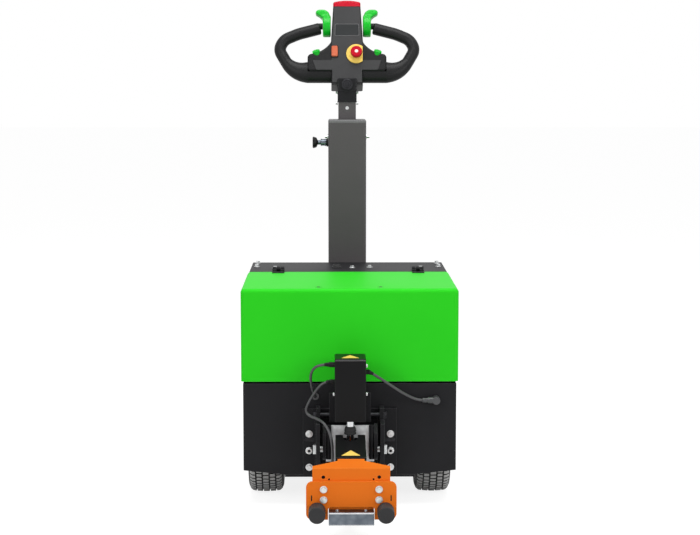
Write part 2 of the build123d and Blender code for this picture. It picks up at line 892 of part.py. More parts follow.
# Hitch bracket: back plate bolted to the front panel, with two stepped flanges
flange_bolt_reach = 28
flange_bolt_z = 240
flange_bolt_r = 6
flange_outline = ((8, 95), (60, 105), (100, 185), (100, flange_step), (45, flange_step), (45, flange_top), (8, flange_top))
with BuildPart() as hitch_bracket:
    with BuildSketch(across(0)):
        with Locations((0, (keel_z + back_plate_top) / 2)):
            Rectangle(back_plate_width, back_plate_top - keel_z)
    extrude(amount=back_plate_t)
    for inner_x in (-flange_centre - flange_t / 2, flange_centre - flange_t / 2):
        with BuildSketch(Plane.YZ.offset(inner_x)):
            with BuildLine():
                Polyline(*[side(reach, z) for reach, z in flange_outline], close=True)
            make_face()
            with Locations(side(pivot_reach, pivot_z)):
                Circle(pivot_r, mode=Mode.SUBTRACT)
            with Locations(side(flange_bolt_reach, flange_bolt_z)):
                Circle(flange_bolt_r, mode=Mode.SUBTRACT)
        extrude(amount=flange_t)
keep(hitch_bracket.part, "hitch_bracket")

flange_outer = flange_centre + flange_t / 2
with BuildPart() as pivot_bolt:
    with BuildSketch(Plane.YZ.offset(-flange_outer - pivot_head_t)):
        with Locations(side(pivot_reach, pivot_z)):
            RegularPolygon(pivot_head_r, 6)
    extrude(amount=pivot_head_t)
    with BuildSketch(Plane.YZ.offset(-flange_outer)):
        with Locations(side(pivot_reach, pivot_z)):
            Circle(pivot_r)
    extrude(amount=2 * flange_outer)
    with BuildSketch(Plane.YZ.offset(flange_outer)):
        with Locations(side(pivot_reach, pivot_z)):
            RegularPolygon(pivot_head_r, 6)
    extrude(amount=pivot_head_t)
keep(pivot_bolt.part, "pivot_bolt")

# Actuator: bracket between the flanges, bolted housing and its sliding rod
bracket_half = 52
bracket_t = 5
bracket_plate = 4
bracket_bottom = 226
bracket_top = 300
ear_top = 254
ear_back = 14
with BuildPart() as actuator_bracket:
    with BuildSketch(across(box_reach - bracket_plate)):
        with Locations((0, (bracket_bottom + bracket_top) / 2)):
            Rectangle(2 * bracket_half, bracket_top - bracket_bottom)
    extrude(amount=bracket_plate)
    for ear_x in (-bracket_half, bracket_half - bracket_t):
        with BuildSketch(Plane.YZ.offset(ear_x)):
            with BuildLine():
                Polyline(
                    side(ear_back, bracket_bottom),
                    side(box_reach - bracket_plate, bracket_bottom),
                    side(box_reach - bracket_plate, ear_top),
                    side(ear_back, ear_top),
                    close=True,
                )
            make_face()
            with Locations(side(flange_bolt_reach, flange_bolt_z)):
                Circle(flange_bolt_r, mode=Mode.SUBTRACT)
        extrude(amount=bracket_t)
keep(actuator_bracket.part, "actuator_bracket")

bolt_head_r = 10
bolt_head_t = 7
bolt_inside = 3
with BuildPart() as actuator_bolts:
    bolt_start = bracket_half - bracket_t - bolt_inside
    for shank_x, head_x in ((-flange_outer, -flange_outer - bolt_head_t), (bolt_start, flange_outer)):
        with BuildSketch(Plane.YZ.offset(shank_x)):
            with Locations(side(flange_bolt_reach, flange_bolt_z)):
                Circle(flange_bolt_r)
        extrude(amount=flange_outer - bolt_start)
        with BuildSketch(Plane.YZ.offset(head_x)):
            with Locations(side(flange_bolt_reach, flange_bolt_z)):
                RegularPolygon(bolt_head_r, 6)
        extrude(amount=bolt_head_t)
keep(actuator_bolts.part, "actuator_bolts")

with BuildPart() as actuator_housing:
    with BuildSketch(Plane.XY.offset(box_bottom)):
        with Locations((0, front_y - box_reach - box_depth / 2)):
            RectangleRounded(box_width, box_depth, box_edge)
    extrude(amount=box_top - box_bottom)
    fillet(actuator_housing.faces().sort_by(Axis.Z)[-1].edges(), box_edge - 1)
    with BuildSketch(Plane.XY.offset(box_bottom)):
        with Locations((0, front_y - rod_reach)):
            Circle(rod_r + running)
    extrude(amount=rod_inside + rod_stroke_room, mode=Mode.SUBTRACT)
keep(actuator_housing.part, "actuator_housing")

eye_slack = 0.6
with BuildPart() as actuator_rod:
    with BuildSketch(Plane.XY.offset(pivot_z)):
        with Locations((0, front_y - rod_reach)):
            Circle(rod_r)
    extrude(amount=box_bottom + rod_inside - pivot_z)
    with BuildSketch(Plane.YZ.offset(-eye_width / 2)):
        with Locations(side(rod_reach, pivot_z)):
            Circle(eye_r)
    extrude(amount=eye_width)
    with BuildSketch(Plane.YZ.offset(-eye_width)):
        with Locations(side(rod_reach, pivot_z)):
            SlotCenterToCenter(eye_slot, 2 * (eye_pin_r + eye_slack))
    extrude(amount=2 * eye_width, mode=Mode.SUBTRACT)
keep(actuator_rod.part, "actuator_rod")

# Lift arm: hub on the pivot bolt, two beam plates with the rod's pin between, and two cheeks
cover_slope = (cover_far[1] - cover_near[1]) / (cover_near[0] - cover_far[0])
under_cover = 0.4
beam_drop = cover_plate * (1 + cover_slope ** 2) ** 0.5 + under_cover
flange_slope = 0.2
coupler_gap = 2
coupler_far = cover_near[0] + coupler_gap
flange_far_z = coupler_top + (coupler_reach + coupler_plate_t - coupler_far) * flange_slope
beam_outline = (
    (28, 142),
    (120, 118),
    (coupler_reach, 112),
    (coupler_reach, coupler_top - coupler_plate_t - under_cover),
    (coupler_far - 1, flange_far_z - coupler_plate_t - 1.5 * under_cover),
    (coupler_far - 1, cover_near[1] - beam_drop - 1),
    (cover_far[0], cover_far[1] - beam_drop),
    (62, 178),
)
cheek_lobes = ((pivot_reach, pivot_z, 24), (58, 201, 24), (84, 200, 10), (84, 150, 12))
beam_hub_r = 22
with BuildPart() as lift_arm:
    for plate_x in (-arm_half, arm_half - arm_plate):
        with BuildSketch(Plane.YZ.offset(plate_x)):
            with BuildLine():
                Polyline(*[side(reach, z) for reach, z in beam_outline], close=True)
            make_face()
            with Locations(side(pivot_reach, pivot_z)):
                Circle(beam_hub_r)
        extrude(amount=arm_plate)
    with BuildSketch(Plane.YZ.offset(-arm_half)):
        with Locations(side(rod_reach, pivot_z)):
            Circle(eye_pin_r)
    extrude(amount=2 * arm_half)
    for plate_x in (-cheek_centre - cheek_t / 2, cheek_centre - cheek_t / 2):
        with BuildSketch(Plane.YZ.offset(plate_x)):
            with BuildLine():
                for reach, z, lobe_r in cheek_lobes:
                    CenterArc(side(reach, z), lobe_r, 0, 360)
            make_hull()
        extrude(amount=cheek_t)
    hub_half = cheek_centre + cheek_t / 2
    with BuildSketch(Plane.YZ.offset(-hub_half)):
        with Locations(side(pivot_reach, pivot_z)):
            Circle(arm_hub_r)
    extrude(amount=2 * hub_half)
    with BuildSketch(Plane.YZ.offset(-hub_half)):
        with Locations(side(pivot_reach, pivot_z)):
            Circle(pivot_r + running)
    extrude(amount=2 * hub_half, mode=Mode.SUBTRACT)
keep(lift_arm.part, "lift_arm")

# Zinc shield across the cheeks, notched over the beam, with a round post at each side
shield_half = cheek_centre - cheek_t / 2
shield_notch_top = 192
notch_gap = 0.5
with BuildPart() as arm_shield:
    with BuildSketch(across(shield_reach)):
        with Locations((0, (shield_bottom + shield_top) / 2)):
            Rectangle(2 * shield_half, shield_top - shield_bottom)
        with Locations((0, shield_bottom)):
            Rectangle(
                2 * (arm_half + notch_gap),
                shield_notch_top - shield_bottom,
                align=(Align.CENTER, Align.MIN),
                mode=Mode.SUBTRACT,
            )
    extrude(amount=shield_t)
keep(arm_shield.part, "arm_shield")

post_r = 6.5
post_gap = 0.1
post_bottom = 140
post_top = 226
post_round = 2
with BuildPart() as arm_posts:
    post_x = shield_half - post_gap - post_r
    post_y = front_y - (shield_reach + shield_t + post_gap + post_r)
    with BuildSketch(Plane.XY.offset(post_bottom)):
        with Locations((-post_x, post_y), (post_x, post_y)):
            Circle(post_r)
    extrude(amount=post_top - post_bottom)
    fillet(arm_posts.faces().group_by(Axis.Z)[-1].edges(), post_round)
keep(arm_posts.part, "arm_posts")

# Sloped cover over the beam, a channel notched where the rod comes down
with BuildPart() as arm_cover:
    far_side = [side(cover_far[0], cover_far[1] - drop) for drop in (0, cover_drop)]
    near_side = [side(cover_near[0], cover_near[1] - drop) for drop in (cover_drop, 0)]
    with BuildSketch(Plane.YZ.offset(-cover_width / 2)):
        with BuildLine():
            Polyline(*far_side, *near_side, close=True)
        make_face()
    extrude(amount=cover_width)
    inner_drop = beam_drop - under_cover
    with BuildSketch(Plane.YZ.offset(-arm_half)):
        with BuildLine():
            Polyline(
                side(cover_far[0] - 1, cover_far[1] + cover_slope - inner_drop),
                side(cover_near[0] + 1, cover_near[1] - cover_slope - inner_drop),
                side(cover_near[0] + 1, cover_near[1] - 2 * cover_drop),
                side(cover_far[0] - 1, cover_near[1] - 2 * cover_drop),
                close=True,
            )
        make_face()
    extrude(amount=2 * arm_half, mode=Mode.SUBTRACT)
    with BuildSketch(Plane.XY.offset(cover_near[1] - cover_drop)):
        with Locations((0, front_y - cover_far[0])):
            SlotOverall(2 * cover_notch, cover_notch, rotation=90)
    extrude(amount=2 * cover_drop, mode=Mode.SUBTRACT)
keep(arm_cover.part, "arm_cover")

# Coupler bracket: a bent channel with a tapered top flange, a drilled face and a bottom flange
coupler_face = coupler_reach + coupler_plate_t
bottom_flange_far = 270
flange_far_half = 32
taper_far = 262
taper_near = 292
with BuildPart() as coupler_bracket:
    with BuildSketch(Plane.YZ.offset(-coupler_width / 2)):
        with BuildLine():
            Polyline(
                side(coupler_far, flange_far_z),
                side(coupler_face, coupler_top),
                side(coupler_face, coupler_bottom - coupler_plate_t),
                side(bottom_flange_far, coupler_bottom - coupler_plate_t),
                side(bottom_flange_far, coupler_bottom),
                side(coupler_reach, coupler_bottom),
                side(coupler_reach, coupler_top - coupler_plate_t + flange_slope * coupler_plate_t),
                side(coupler_far, flange_far_z - coupler_plate_t),
                close=True,
            )
        make_face()
    extrude(amount=coupler_width)
    with BuildSketch(Plane.XY.offset(coupler_top - 4 * coupler_plate_t)):
        for sign in (-1, 1):
            with BuildLine():
                Polyline(
                    (sign * flange_far_half, front_y - coupler_far + 1),
                    (sign * flange_far_half, front_y - taper_far),
                    (sign * coupler_width / 2, front_y - taper_near),
                    (sign * coupler_width, front_y - taper_near),
                    (sign * coupler_width, front_y - coupler_far + 1),
                    close=True,
                )
            make_face()
    extrude(amount=8 * coupler_plate_t, mode=Mode.SUBTRACT)
    with BuildSketch(Plane.XY.offset(coupler_bottom - 2 * coupler_plate_t)):
        with Locations((0, front_y - (bottom_flange_far + coupler_face) / 2)):
            with GridLocations(coupler_width, 0, 2, 1):
                Rectangle(coupler_width - lip_width, 2 * (coupler_face - bottom_flange_far))
    extrude(amount=2 * coupler_plate_t, mode=Mode.SUBTRACT)
    with BuildSketch(across(coupler_reach - coupler_plate_t)):
        with Locations((-big_hole_spacing / 2, big_hole_z), (big_hole_spacing / 2, big_hole_z)):
            Circle(big_hole_r)
        with Locations((-small_hole_spacing / 2, small_hole_z), (small_hole_spacing / 2, small_hole_z)):
            Circle(small_hole_r)
    extrude(amount=3 * coupler_plate_t, mode=Mode.SUBTRACT)
keep(coupler_bracket.part, "coupler_bracket")

# Front plate with two legs, the rubber buffers on them and the zinc catch lip between
front_round = 15
cutout_round = 6
front_plate_face = coupler_face + coupler_plate_t
with BuildPart() as coupler_plate:
    with BuildSketch(across(coupler_face)) as plate_face:
        with Locations((0, (front_plate_top + front_plate_foot) / 2)):
            RectangleRounded(front_plate_width, front_plate_top - front_plate_foot, front_round)
        with Locations((0, coupler_bottom)):
            Rectangle(
                front_cutout,
                2 * (coupler_bottom - front_plate_foot),
                align=(Align.CENTER, Align.MAX),
                mode=Mode.SUBTRACT,
            )
        fillet(plate_face.vertices().filter_by(lambda v: abs(v.Y - coupler_bottom) < 0.01), cutout_round)
        slit_x = front_plate_width / 2 - slit_inset
        with Locations((-slit_x, slit_z), (slit_x, slit_z)):
            SlotOverall(slit_length, slit_width, rotation=90, mode=Mode.SUBTRACT)
    extrude(amount=coupler_plate_t)
keep(coupler_plate.part, "coupler_plate")

with BuildPart() as buffers:
    with BuildSketch(across(front_plate_face)):
        with Locations((-buffer_spacing / 2, buffer_z), (buffer_spacing / 2, buffer_z)):
            Circle(buffer_r)
    extrude(amount=hitch_reach - front_plate_face)
    fillet(buffers.faces().group_by(Axis.Y)[0].edges(), buffer_edge)
keep(buffers.part, "buffers")

lip_far = 262
lip_bend = 6
with BuildPart() as catch_lip:
    with BuildSketch(Plane.YZ.offset(-lip_width / 2)) as lip_profile:
        with BuildLine():
            Polyline(
                side(lip_far, lip_shelf_z - lip_plate),
                side(lip_far, lip_shelf_z),
                side(lip_reach, lip_shelf_z),
                side(lip_reach, lip_foot_z),
                side(lip_reach - lip_plate, lip_foot_z),
                side(lip_reach - lip_plate, lip_shelf_z - lip_plate),
                close=True,
            )
        make_face()
    extrude(amount=lip_width)
    bend_edge = catch_lip.edges().filter_by(Axis.X).group_by(Axis.Z)[-1].sort_by(Axis.Y)[0]
    fillet(bend_edge, lip_bend)
keep(catch_lip.part, "catch_lip")

# Sockets on the front panel and glands on the actuator housing, where the leads end
socket_r = 10
socket_depth = 22
elbow_r = 8
elbow_reach = 13
plug_r = 6
lead_r = 3.5
right_route = ((184, 13, 274), (168, 13, 274), (132, 36, 295), (98, 60, 322), (62, 85, 360), (44, 85, 360))
left_route = (
    (-50, 95, 380),
    (-72, 95, 380),
    (-91, 86, 370),
    (-99, 71, 348),
    (-97, 55, 323),
    (-93, 44, 304),
    (-89, 33, 290),
    (-87, 20, 283),
    (-87, 6, 283),
)
lower_route = (
    (-46, 70, 332),
    (-58, 70, 332),
    (-72, 69, 325),
    (-86, 66, 308),
    (-104, 58, 277),
    (-112, 54, 256),
    (-101, 60, 243),
    (-82, 78, 241),
    (-64, 100, 233),
    (-52, 114, 216),
    (-45, 120, 190),
    (-44, 118, 158),
    (-45, 102, 130),
    (-44, 72, 112),
    (-44, 36, 102),
    (-44, 14, 102),
)
plug_length = 14
elbow_length = 20
grommet_r = 9
with BuildPart() as front_sockets:
    socket_x = right_route[0][0] + plug_length + elbow_length
    with BuildSketch(across(0)):
        with Locations((socket_x, right_route[0][2])):
            Circle(socket_r)
    extrude(amount=socket_depth)
    for start_x, length, radius in (
        (socket_x - elbow_length, elbow_length, elbow_r),
        (right_route[0][0], plug_length, plug_r),
    ):
        with BuildSketch(Plane.YZ.offset(start_x)):
            with Locations(side(elbow_reach, right_route[0][2])):
                Circle(radius)
        extrude(amount=length)
    for grommet_x, end_reach, grommet_z in (left_route[-1], lower_route[-1]):
        seat_reach = back_plate_t if grommet_z < back_plate_top else 0
        with BuildSketch(across(seat_reach)):
            with Locations((grommet_x, grommet_z)):
                Circle(grommet_r)
        extrude(amount=end_reach - seat_reach)
keep(front_sockets.part, "front_sockets")

gland_r = 7
with BuildPart() as cable_glands:
    for start_x, end_x, reach, z in (
        (left_route[0][0], -box_width / 2, left_route[0][1], left_route[0][2]),
        (lower_route[0][0], -box_width / 2, lower_route[0][1], lower_route[0][2]),
        (box_width / 2, right_route[-1][0], right_route[-1][1], right_route[-1][2]),
    ):
        with BuildSketch(Plane.YZ.offset(start_x)):
            with Locations(side(reach, z)):
                RegularPolygon(gland_r, 6)
        extrude(amount=end_x - start_x)
keep(cable_glands.part, "cable_glands")

# Leads between them: straight runs joined by arcs as large as the runs allow
for name, route in (("lead_right", right_route), ("lead_left", left_route), ("lead_lower", lower_route)):
    points = [Vector(x, front_y - reach, z) for x, reach, z in route]
    radii = []
    for before, corner, after in zip(points, points[1:], points[2:]):
        turn = radians((corner - before).get_angle(after - corner))
        shorter = min((corner - before).length, (after - corner).length)
        radii.append(0.45 * shorter / tan(turn / 2))
    print(name, "bend radii", [round(radius) for radius in radii])
    with BuildPart() as lead:
        with BuildLine() as lead_path:
            FilletPolyline(*points, radius=radii)
        with BuildSketch(Plane(origin=points[0], z_dir=points[1] - points[0])):
            Circle(lead_r)
        sweep(path=lead_path.line)
    keep(lead.part, name)
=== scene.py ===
# %% [markdown]
# This lesson dresses a walk-behind electric tow tractor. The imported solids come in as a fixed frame.
# They already have the right places, so this script adds finishes, small fasteners, tyre tread and leads.

# %% Load the frame
from math import cos, pi, radians, sin

import bmesh
import bpy
from mathutils import Matrix, Vector


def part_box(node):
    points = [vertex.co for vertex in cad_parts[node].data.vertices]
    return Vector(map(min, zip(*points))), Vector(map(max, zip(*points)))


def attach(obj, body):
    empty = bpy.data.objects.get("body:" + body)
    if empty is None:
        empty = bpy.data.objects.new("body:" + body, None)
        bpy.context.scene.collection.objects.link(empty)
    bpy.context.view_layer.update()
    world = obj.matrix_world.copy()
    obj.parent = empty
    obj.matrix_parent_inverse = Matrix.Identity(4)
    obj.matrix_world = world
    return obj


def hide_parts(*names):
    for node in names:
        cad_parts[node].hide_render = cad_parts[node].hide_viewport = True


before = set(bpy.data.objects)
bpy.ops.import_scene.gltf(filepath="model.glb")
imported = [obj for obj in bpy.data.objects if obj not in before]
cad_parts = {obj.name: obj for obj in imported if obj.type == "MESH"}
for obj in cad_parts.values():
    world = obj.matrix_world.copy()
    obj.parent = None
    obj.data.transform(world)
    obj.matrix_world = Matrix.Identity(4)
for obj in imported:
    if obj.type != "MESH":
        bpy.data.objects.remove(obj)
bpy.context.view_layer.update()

# %% [markdown]
# Places are easier to read in the machine's own terms: millimetres across, ahead of the body's front
# face, and above the floor. The tiller head leans back, so its pieces use a second, leaning frame.

# %% Places on the machine
body_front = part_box("front_panel")[0].y
column_low, column_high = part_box("column")
column_y = (column_low.y + column_high.y) / 2
deck_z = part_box("rear_deck")[1].z * 1000
head_foot_z = 1.041
head_lean = radians(20)
HITCHWARD = Vector((0, -1, 0))
UPWARD = Vector((0, 0, 1))
RIGHTWARD = Vector((1, 0, 0))
HEADWARD = Vector((0, -cos(head_lean), sin(head_lean)))
SIDES = (-1, 1)


def at(x, reach, z):
    """Point from millimetres across, ahead of the front face and above the floor."""
    return Vector((x / 1000, body_front - reach / 1000, z / 1000))


def on_head(x, along, out):
    """Point from millimetres across, along and out of the leaning tiller head."""
    y = column_y + (along * sin(head_lean) - out * cos(head_lean)) / 1000
    z = head_foot_z + (along * cos(head_lean) + out * sin(head_lean)) / 1000
    return Vector((x / 1000, y, z))


print("front face at", round(body_front, 4), "column at", round(column_y, 4))

# %% [markdown]
# The picture is a studio shot from straight ahead of the hitch, a little left of centre. The horizon
# and the body's known width give the distance, the height and a long lens.

# %% Camera
camera_x = -0.050
camera_gap = 4.2
camera_height = 1.095
camera_pitch = radians(6.584)
camera_pan = radians(-0.69)
camera = bpy.data.objects.new("camera", bpy.data.cameras.new("camera"))
camera.data.sensor_width = 36
camera.data.lens = 86.66
camera.location = (camera_x, body_front - camera_gap, camera_height)
camera.rotation_euler = (pi / 2 - camera_pitch, 0, camera_pan)
bpy.context.collection.objects.link(camera)
bpy.context.scene.camera = camera
bpy.context.scene.view_settings.view_transform = "Standard"
print("camera at", [round(value, 3) for value in camera.location])

# %% [markdown]
# Colours are written as sRGB hex, the way a paint chart gives them, and one function makes them linear.
# A second function adds a shader node with its settings and links. It could be written out for every
# node, but then a finish would be a page long.

# %% Colour and node helpers


def linear(code):
    """Linear colour of an sRGB hex value."""
    channels = [int(code[place:place + 2], 16) / 255 for place in (0, 2, 4)]
    return tuple(c / 12.92 if c <= 0.04045 else ((c + 0.055) / 1.055) ** 2.4 for c in channels) + (1,)


def add_node(owner, kind, inputs=None, **settings):
    """Add a node to a material or world, set its options, and fill its sockets with values or links."""
    node = owner.node_tree.nodes.new(kind)
    for name, value in settings.items():
        setattr(node, name, value)
    for socket, value in (inputs or {}).items():
        if isinstance(value, bpy.types.NodeSocket):
            owner.node_tree.links.new(value, node.inputs[socket])
        else:
            node.inputs[socket].default_value = value
    return node


def per_mm(size):
    """Pattern scale for features of a size in millimetres, on coordinates in metres."""
    return 1000 / size


print("half grey is", round(linear("808080")[0], 3), "in linear light")

# %% [markdown]
# Every finish is built from the same few steps: a pattern, two shades blended by it, a roughness that
# follows it and a fine relief. Each step is a short function, so that a finish reads as a list of them.

# %% Steps of a finish


def start_finish(name, sockets):
    """New material with plain values on its shader, and the object's own coordinates."""
    material = bpy.data.materials.new(name)
    material.use_nodes = True
    surface = material.node_tree.nodes["Principled BSDF"]
    for socket, value in sockets.items():
        surface.inputs[socket].default_value = value
    place = add_node(material, "ShaderNodeTexCoord").outputs["Object"]
    return material, surface, place


def noise(material, place, size, detail):
    """Soft random pattern with features of a size in millimetres."""
    inputs = {"Vector": place, "Scale": per_mm(size), "Detail": detail}
    return add_node(material, "ShaderNodeTexNoise", inputs).outputs["Fac"]


def cells(material, place, size):
    """Cellular pattern with cells of a size in millimetres."""
    inputs = {"Vector": place, "Scale": per_mm(size)}
    return add_node(material, "ShaderNodeTexVoronoi", inputs).outputs["Distance"]


def blend(material, factor, first, second):
    """Colour between two others."""
    inputs = {0: factor, 6: first, 7: second}
    return add_node(material, "ShaderNodeMix", inputs, data_type="RGBA").outputs[2]


def spread(material, pattern, low, high):
    """Stretch a pattern's values from 0 and 1 to low and high."""
    inputs = {"Value": pattern, "To Min": low, "To Max": high}
    return add_node(material, "ShaderNodeMapRange", inputs).outputs["Result"]


def relief(material, pattern, strength, height):
    """Fine relief of a height in metres."""
    inputs = {"Height": pattern, "Strength": strength, "Distance": height}
    return add_node(material, "ShaderNodeBump", inputs).outputs["Normal"]


def wear(material, surface, colour, roughness, normal):
    """Give a shader its colour, roughness and relief."""
    links = material.node_tree.links
    links.new(colour, surface.inputs["Base Color"])
    links.new(roughness, surface.inputs["Roughness"])
    links.new(normal, surface.inputs["Normal"])
    return material


print("a pattern of 2 mm has the scale", per_mm(2))

# %% [markdown]
# Powder coat is sprayed dry and baked, so it flows into a fine orange peel with a low sheen. The peel of
# the real coat is about 0.7 mm across; here it is 2 mm so that it shows. A Bevel node finds the edges,
# and a lighter shade is painted there in patches: a painted highlight for the light that edges catch. It
# needs no mask image and works on any solid.

# %% Powder coats
drift_mm = 160
# size of the patches and width of the edges that are painted lighter as a highlight
highlight_patch_mm = 14
highlight_edge_width = 0.0016
peel_height = 0.0004


def powder_coat(name, dark, light, edge_highlight, roughness, specular, peel_mm, peel_strength):
    """Baked powder coat: two close shades in broad drifts, an orange peel and painted edge highlights."""
    material, surface, place = start_finish(name, {"Specular IOR Level": specular})
    drift = noise(material, place, drift_mm, 3.0)
    shade = blend(material, drift, linear(dark), linear(light))
    sheen = spread(material, drift, roughness - 0.06, roughness + 0.06)
    peel = relief(material, noise(material, place, peel_mm, 2.0), peel_strength, peel_height)
    # where the surface turns over an edge, a lighter shade is painted in patches as a highlight
    turned = add_node(material, "ShaderNodeBevel", {"Radius": highlight_edge_width}, samples=4)
    flat = add_node(material, "ShaderNodeNewGeometry")
    match = add_node(
        material, "ShaderNodeVectorMath", {0: turned.outputs["Normal"], 1: flat.outputs["Normal"]},
        operation="DOT_PRODUCT",
    )
    highlight_patches = noise(material, place, highlight_patch_mm, 3.0)
    painted_edge_highlight = add_node(
        material, "ShaderNodeMapRange",
        {"Value": match.outputs["Value"], "From Min": 0.99, "From Max": 0.85, "To Max": highlight_patches},
    )
    highlighted = blend(material, painted_edge_highlight.outputs["Result"], shade, linear(edge_highlight))
    return wear(material, surface, highlighted, sheen, peel)


# name, dark, light and painted edge highlight shade, roughness, specular level, peel in millimetres and its
# strength
black_coat = powder_coat("black_powder_coat", "1B1B1D", "252527", "6A6A6C", 0.5, 0.1, 2.0, 0.35)
satin_black = powder_coat("satin_black_paint", "0E0E0F", "151516", "5C5C5E", 0.36, 0.12, 2.0, 0.15)
grey_coat = powder_coat("anthracite_powder_coat", "464445", "504D4E", "8C8C8C", 0.46, 0.28, 2.0, 0.35)
green_coat = powder_coat("green_powder_coat", "26C71B", "2DCE21", "7BE670", 0.48, 0.09, 2.4, 0.2)
orange_coat = powder_coat("orange_powder_coat", "DC6A16", "E5741D", "F59A45", 0.46, 0.1, 2.2, 0.25)
motor_enamel = powder_coat("motor_enamel", "1D1E20", "27282B", "55565A", 0.5, 0.3, 3.0, 0.3)
rim_enamel = powder_coat("rim_enamel", "B4B6B8", "C2C4C6", "D8D8D8", 0.4, 0.4, 2.4, 0.2)
print("powder coats and enamels ready")

# %% [markdown]
# The shield, lip and fasteners are zinc plate on steel: a grey metal with faint cloudy crystals some
# millimetres across and short scratches from handling. Stretching a noise along one way draws the
# scratches. The rod is ground hard chrome, and the socket screws are black oxide.

# %% Bare metals
scratch_mm = 18
scratch_height = 0.0003
scratch_stretch = (1.0, 14.0, 14.0)


def plated_steel(name, dark, light, roughness, cloud_mm, scratch):
    """Plated steel: cloudy shades of one grey metal, with fine scratches along one way."""
    material, surface, place = start_finish(name, {"Metallic": 1.0})
    shade = blend(material, cells(material, place, cloud_mm), linear(light), linear(dark))
    stretch = add_node(material, "ShaderNodeMapping", {"Vector": place, "Scale": scratch_stretch})
    lines = noise(material, stretch.outputs["Vector"], scratch_mm, 4.0)
    sheen = spread(material, lines, roughness - 0.1, roughness + 0.12)
    return wear(material, surface, shade, sheen, relief(material, lines, scratch, scratch_height))


# name, dark and light shade, roughness, clouds in millimetres and the scratches' strength
zinc = plated_steel("bright_zinc", "BABCBD", "E0E2E2", 0.34, 7, 0.12)
chrome = plated_steel("hard_chrome", "C6C8CA", "DADCDE", 0.16, 12, 0.04)
# pale galvanised zinc of the arm shield; on the catch lip's strips it is a painted highlight
pale_zinc_and_highlight = plated_steel("galvanised_sheet_and_highlight", "C4C6C8", "DEE0E1", 0.5, 9, 0.1)
# zinc painted darker, as a painted reflection of dark surroundings; on the catch lip and plunger sleeve
dark_reflection_zinc = plated_steel("dark_reflection_zinc", "596069", "737A82", 0.3, 14, 0.08)
black_steel = plated_steel("black_oxide_steel", "2A2A2C", "3A3A3D", 0.42, 9, 0.1)
case_aluminium = plated_steel("anodised_case", "85878A", "9B9DA0", 0.42, 10, 0.1)
print("metals ready")

# %% [markdown]
# Moulded plastic takes the grain of its tool. The housing and grips have a fine spark-eroded grain of
# about 0.5 mm, drawn here at 1.2 mm so that it shows, while the cap and buttons are polished and glossy.
# Rubber and cast paint differ only in shade, roughness and grain, so they share the function.

# %% Plastics and rubbers
tint_mm = 45
grain_height = 0.0003


def moulded(name, dark, light, roughness, grain_mm, depth, sockets=None):
    """Moulded plastic or rubber: an even colour with slight clouds and the tool's grain."""
    material, surface, place = start_finish(name, sockets or {})
    tint = noise(material, place, tint_mm, 3.0)
    shade = blend(material, tint, linear(dark), linear(light))
    sheen = spread(material, tint, roughness - 0.05, roughness + 0.07)
    grain = relief(material, cells(material, place, grain_mm), depth, grain_height)
    return wear(material, surface, shade, sheen, grain)


gloss = {"Coat Weight": 0.12, "Coat Roughness": 0.1, "Specular IOR Level": 0.2}
low_sheen = {"Specular IOR Level": 0.16}
rubber_sheen = {"Specular IOR Level": 0.25}
# name, dark and light shade, roughness, grain in millimetres, the grain's strength and the sheen
grained_abs = moulded("grained_black_abs", "141415", "1C1C1D", 0.4, 1.2, 0.25, low_sheen)
satin_abs = moulded("satin_grey_abs", "323233", "3C3C3D", 0.5, 1.0, 0.12, low_sheen)
plate_plastic = moulded("smooth_dark_plate", "222425", "2A2C2D", 0.3, 1.0, 0.03, low_sheen)
plug_plastic = moulded("plug_polyamide", "3A3B3D", "464749", 0.3, 1.2, 0.06)
red_gloss = moulded("red_polycarbonate", "B0051E", "BC0826", 0.3, 3.0, 0.02, {"Specular IOR Level": 0.12})
green_gloss = moulded("green_nylon", "04A91E", "08B728", 0.34, 1.6, 0.06, gloss)
orange_gloss = moulded("orange_rocker_plastic", "BA5438", "C86A4A", 0.32, 2.0, 0.03, gloss)
yellow_gloss = moulded("yellow_abs", "EAC556", "F2D070", 0.4, 2.0, 0.04, low_sheen)
pale_mark = moulded("pale_button_mark", "F3D3CE", "FAE4E0", 0.3, 2.0, 0.02, gloss)
tyre_rubber = moulded("tyre_rubber", "343434", "404040", 0.8, 1.8, 0.35, rubber_sheen)
# much lighter rubber for the outward faces of the tread blocks: painted light
painted_light_tread = moulded("tread_rubber_painted_light", "9C9C9B", "B0B0AF", 0.85, 1.8, 0.35, low_sheen)
# pale grey nylon of the column guide and plate frame; also a painted highlight on the column's top and the
# box's edge
pale_nylon_and_highlight = moulded("grey_nylon_and_highlight", "646465", "707071", 0.45, 1.2, 0.08, low_sheen)
buffer_rubber = moulded("buffer_rubber", "262627", "313132", 0.62, 1.5, 0.2, rubber_sheen)
castor_tread = moulded("castor_tread", "5B5C5E", "68696B", 0.6, 1.5, 0.15)
castor_nylon = moulded("castor_nylon", "2C2C2E", "363638", 0.5, 1.5, 0.12)
battery_case = moulded("battery_polypropylene", "2A2B2E", "35363A", 0.48, 1.4, 0.2)
cast_iron = moulded("cast_housing_paint", "56585B", "66686B", 0.62, 2.6, 0.6)
print("plastics and rubbers ready")

# %% [markdown]
# The leads have an extruded PVC sheath: dark grey, smooth and slightly shiny. A thing this thin needs no
# relief, so only its roughness varies along the run.

# %% Lead sheath
sheath, sheath_surface, sheath_place = start_finish(
    "lead_sheath_pvc", {"Base Color": linear("454547"), "Specular IOR Level": 0.5}
)
drawn_sheen = spread(sheath, noise(sheath, sheath_place, 9, 2.0), 0.3, 0.46)
sheath.node_tree.links.new(drawn_sheen, sheath_surface.inputs["Roughness"])
print("sheath ready")

# %% [markdown]
# Three leads run between the actuator and the body. Each is one NURBS line along the route's points,
# clamped at both ends so that it starts at its gland and ends in its socket or grommet.

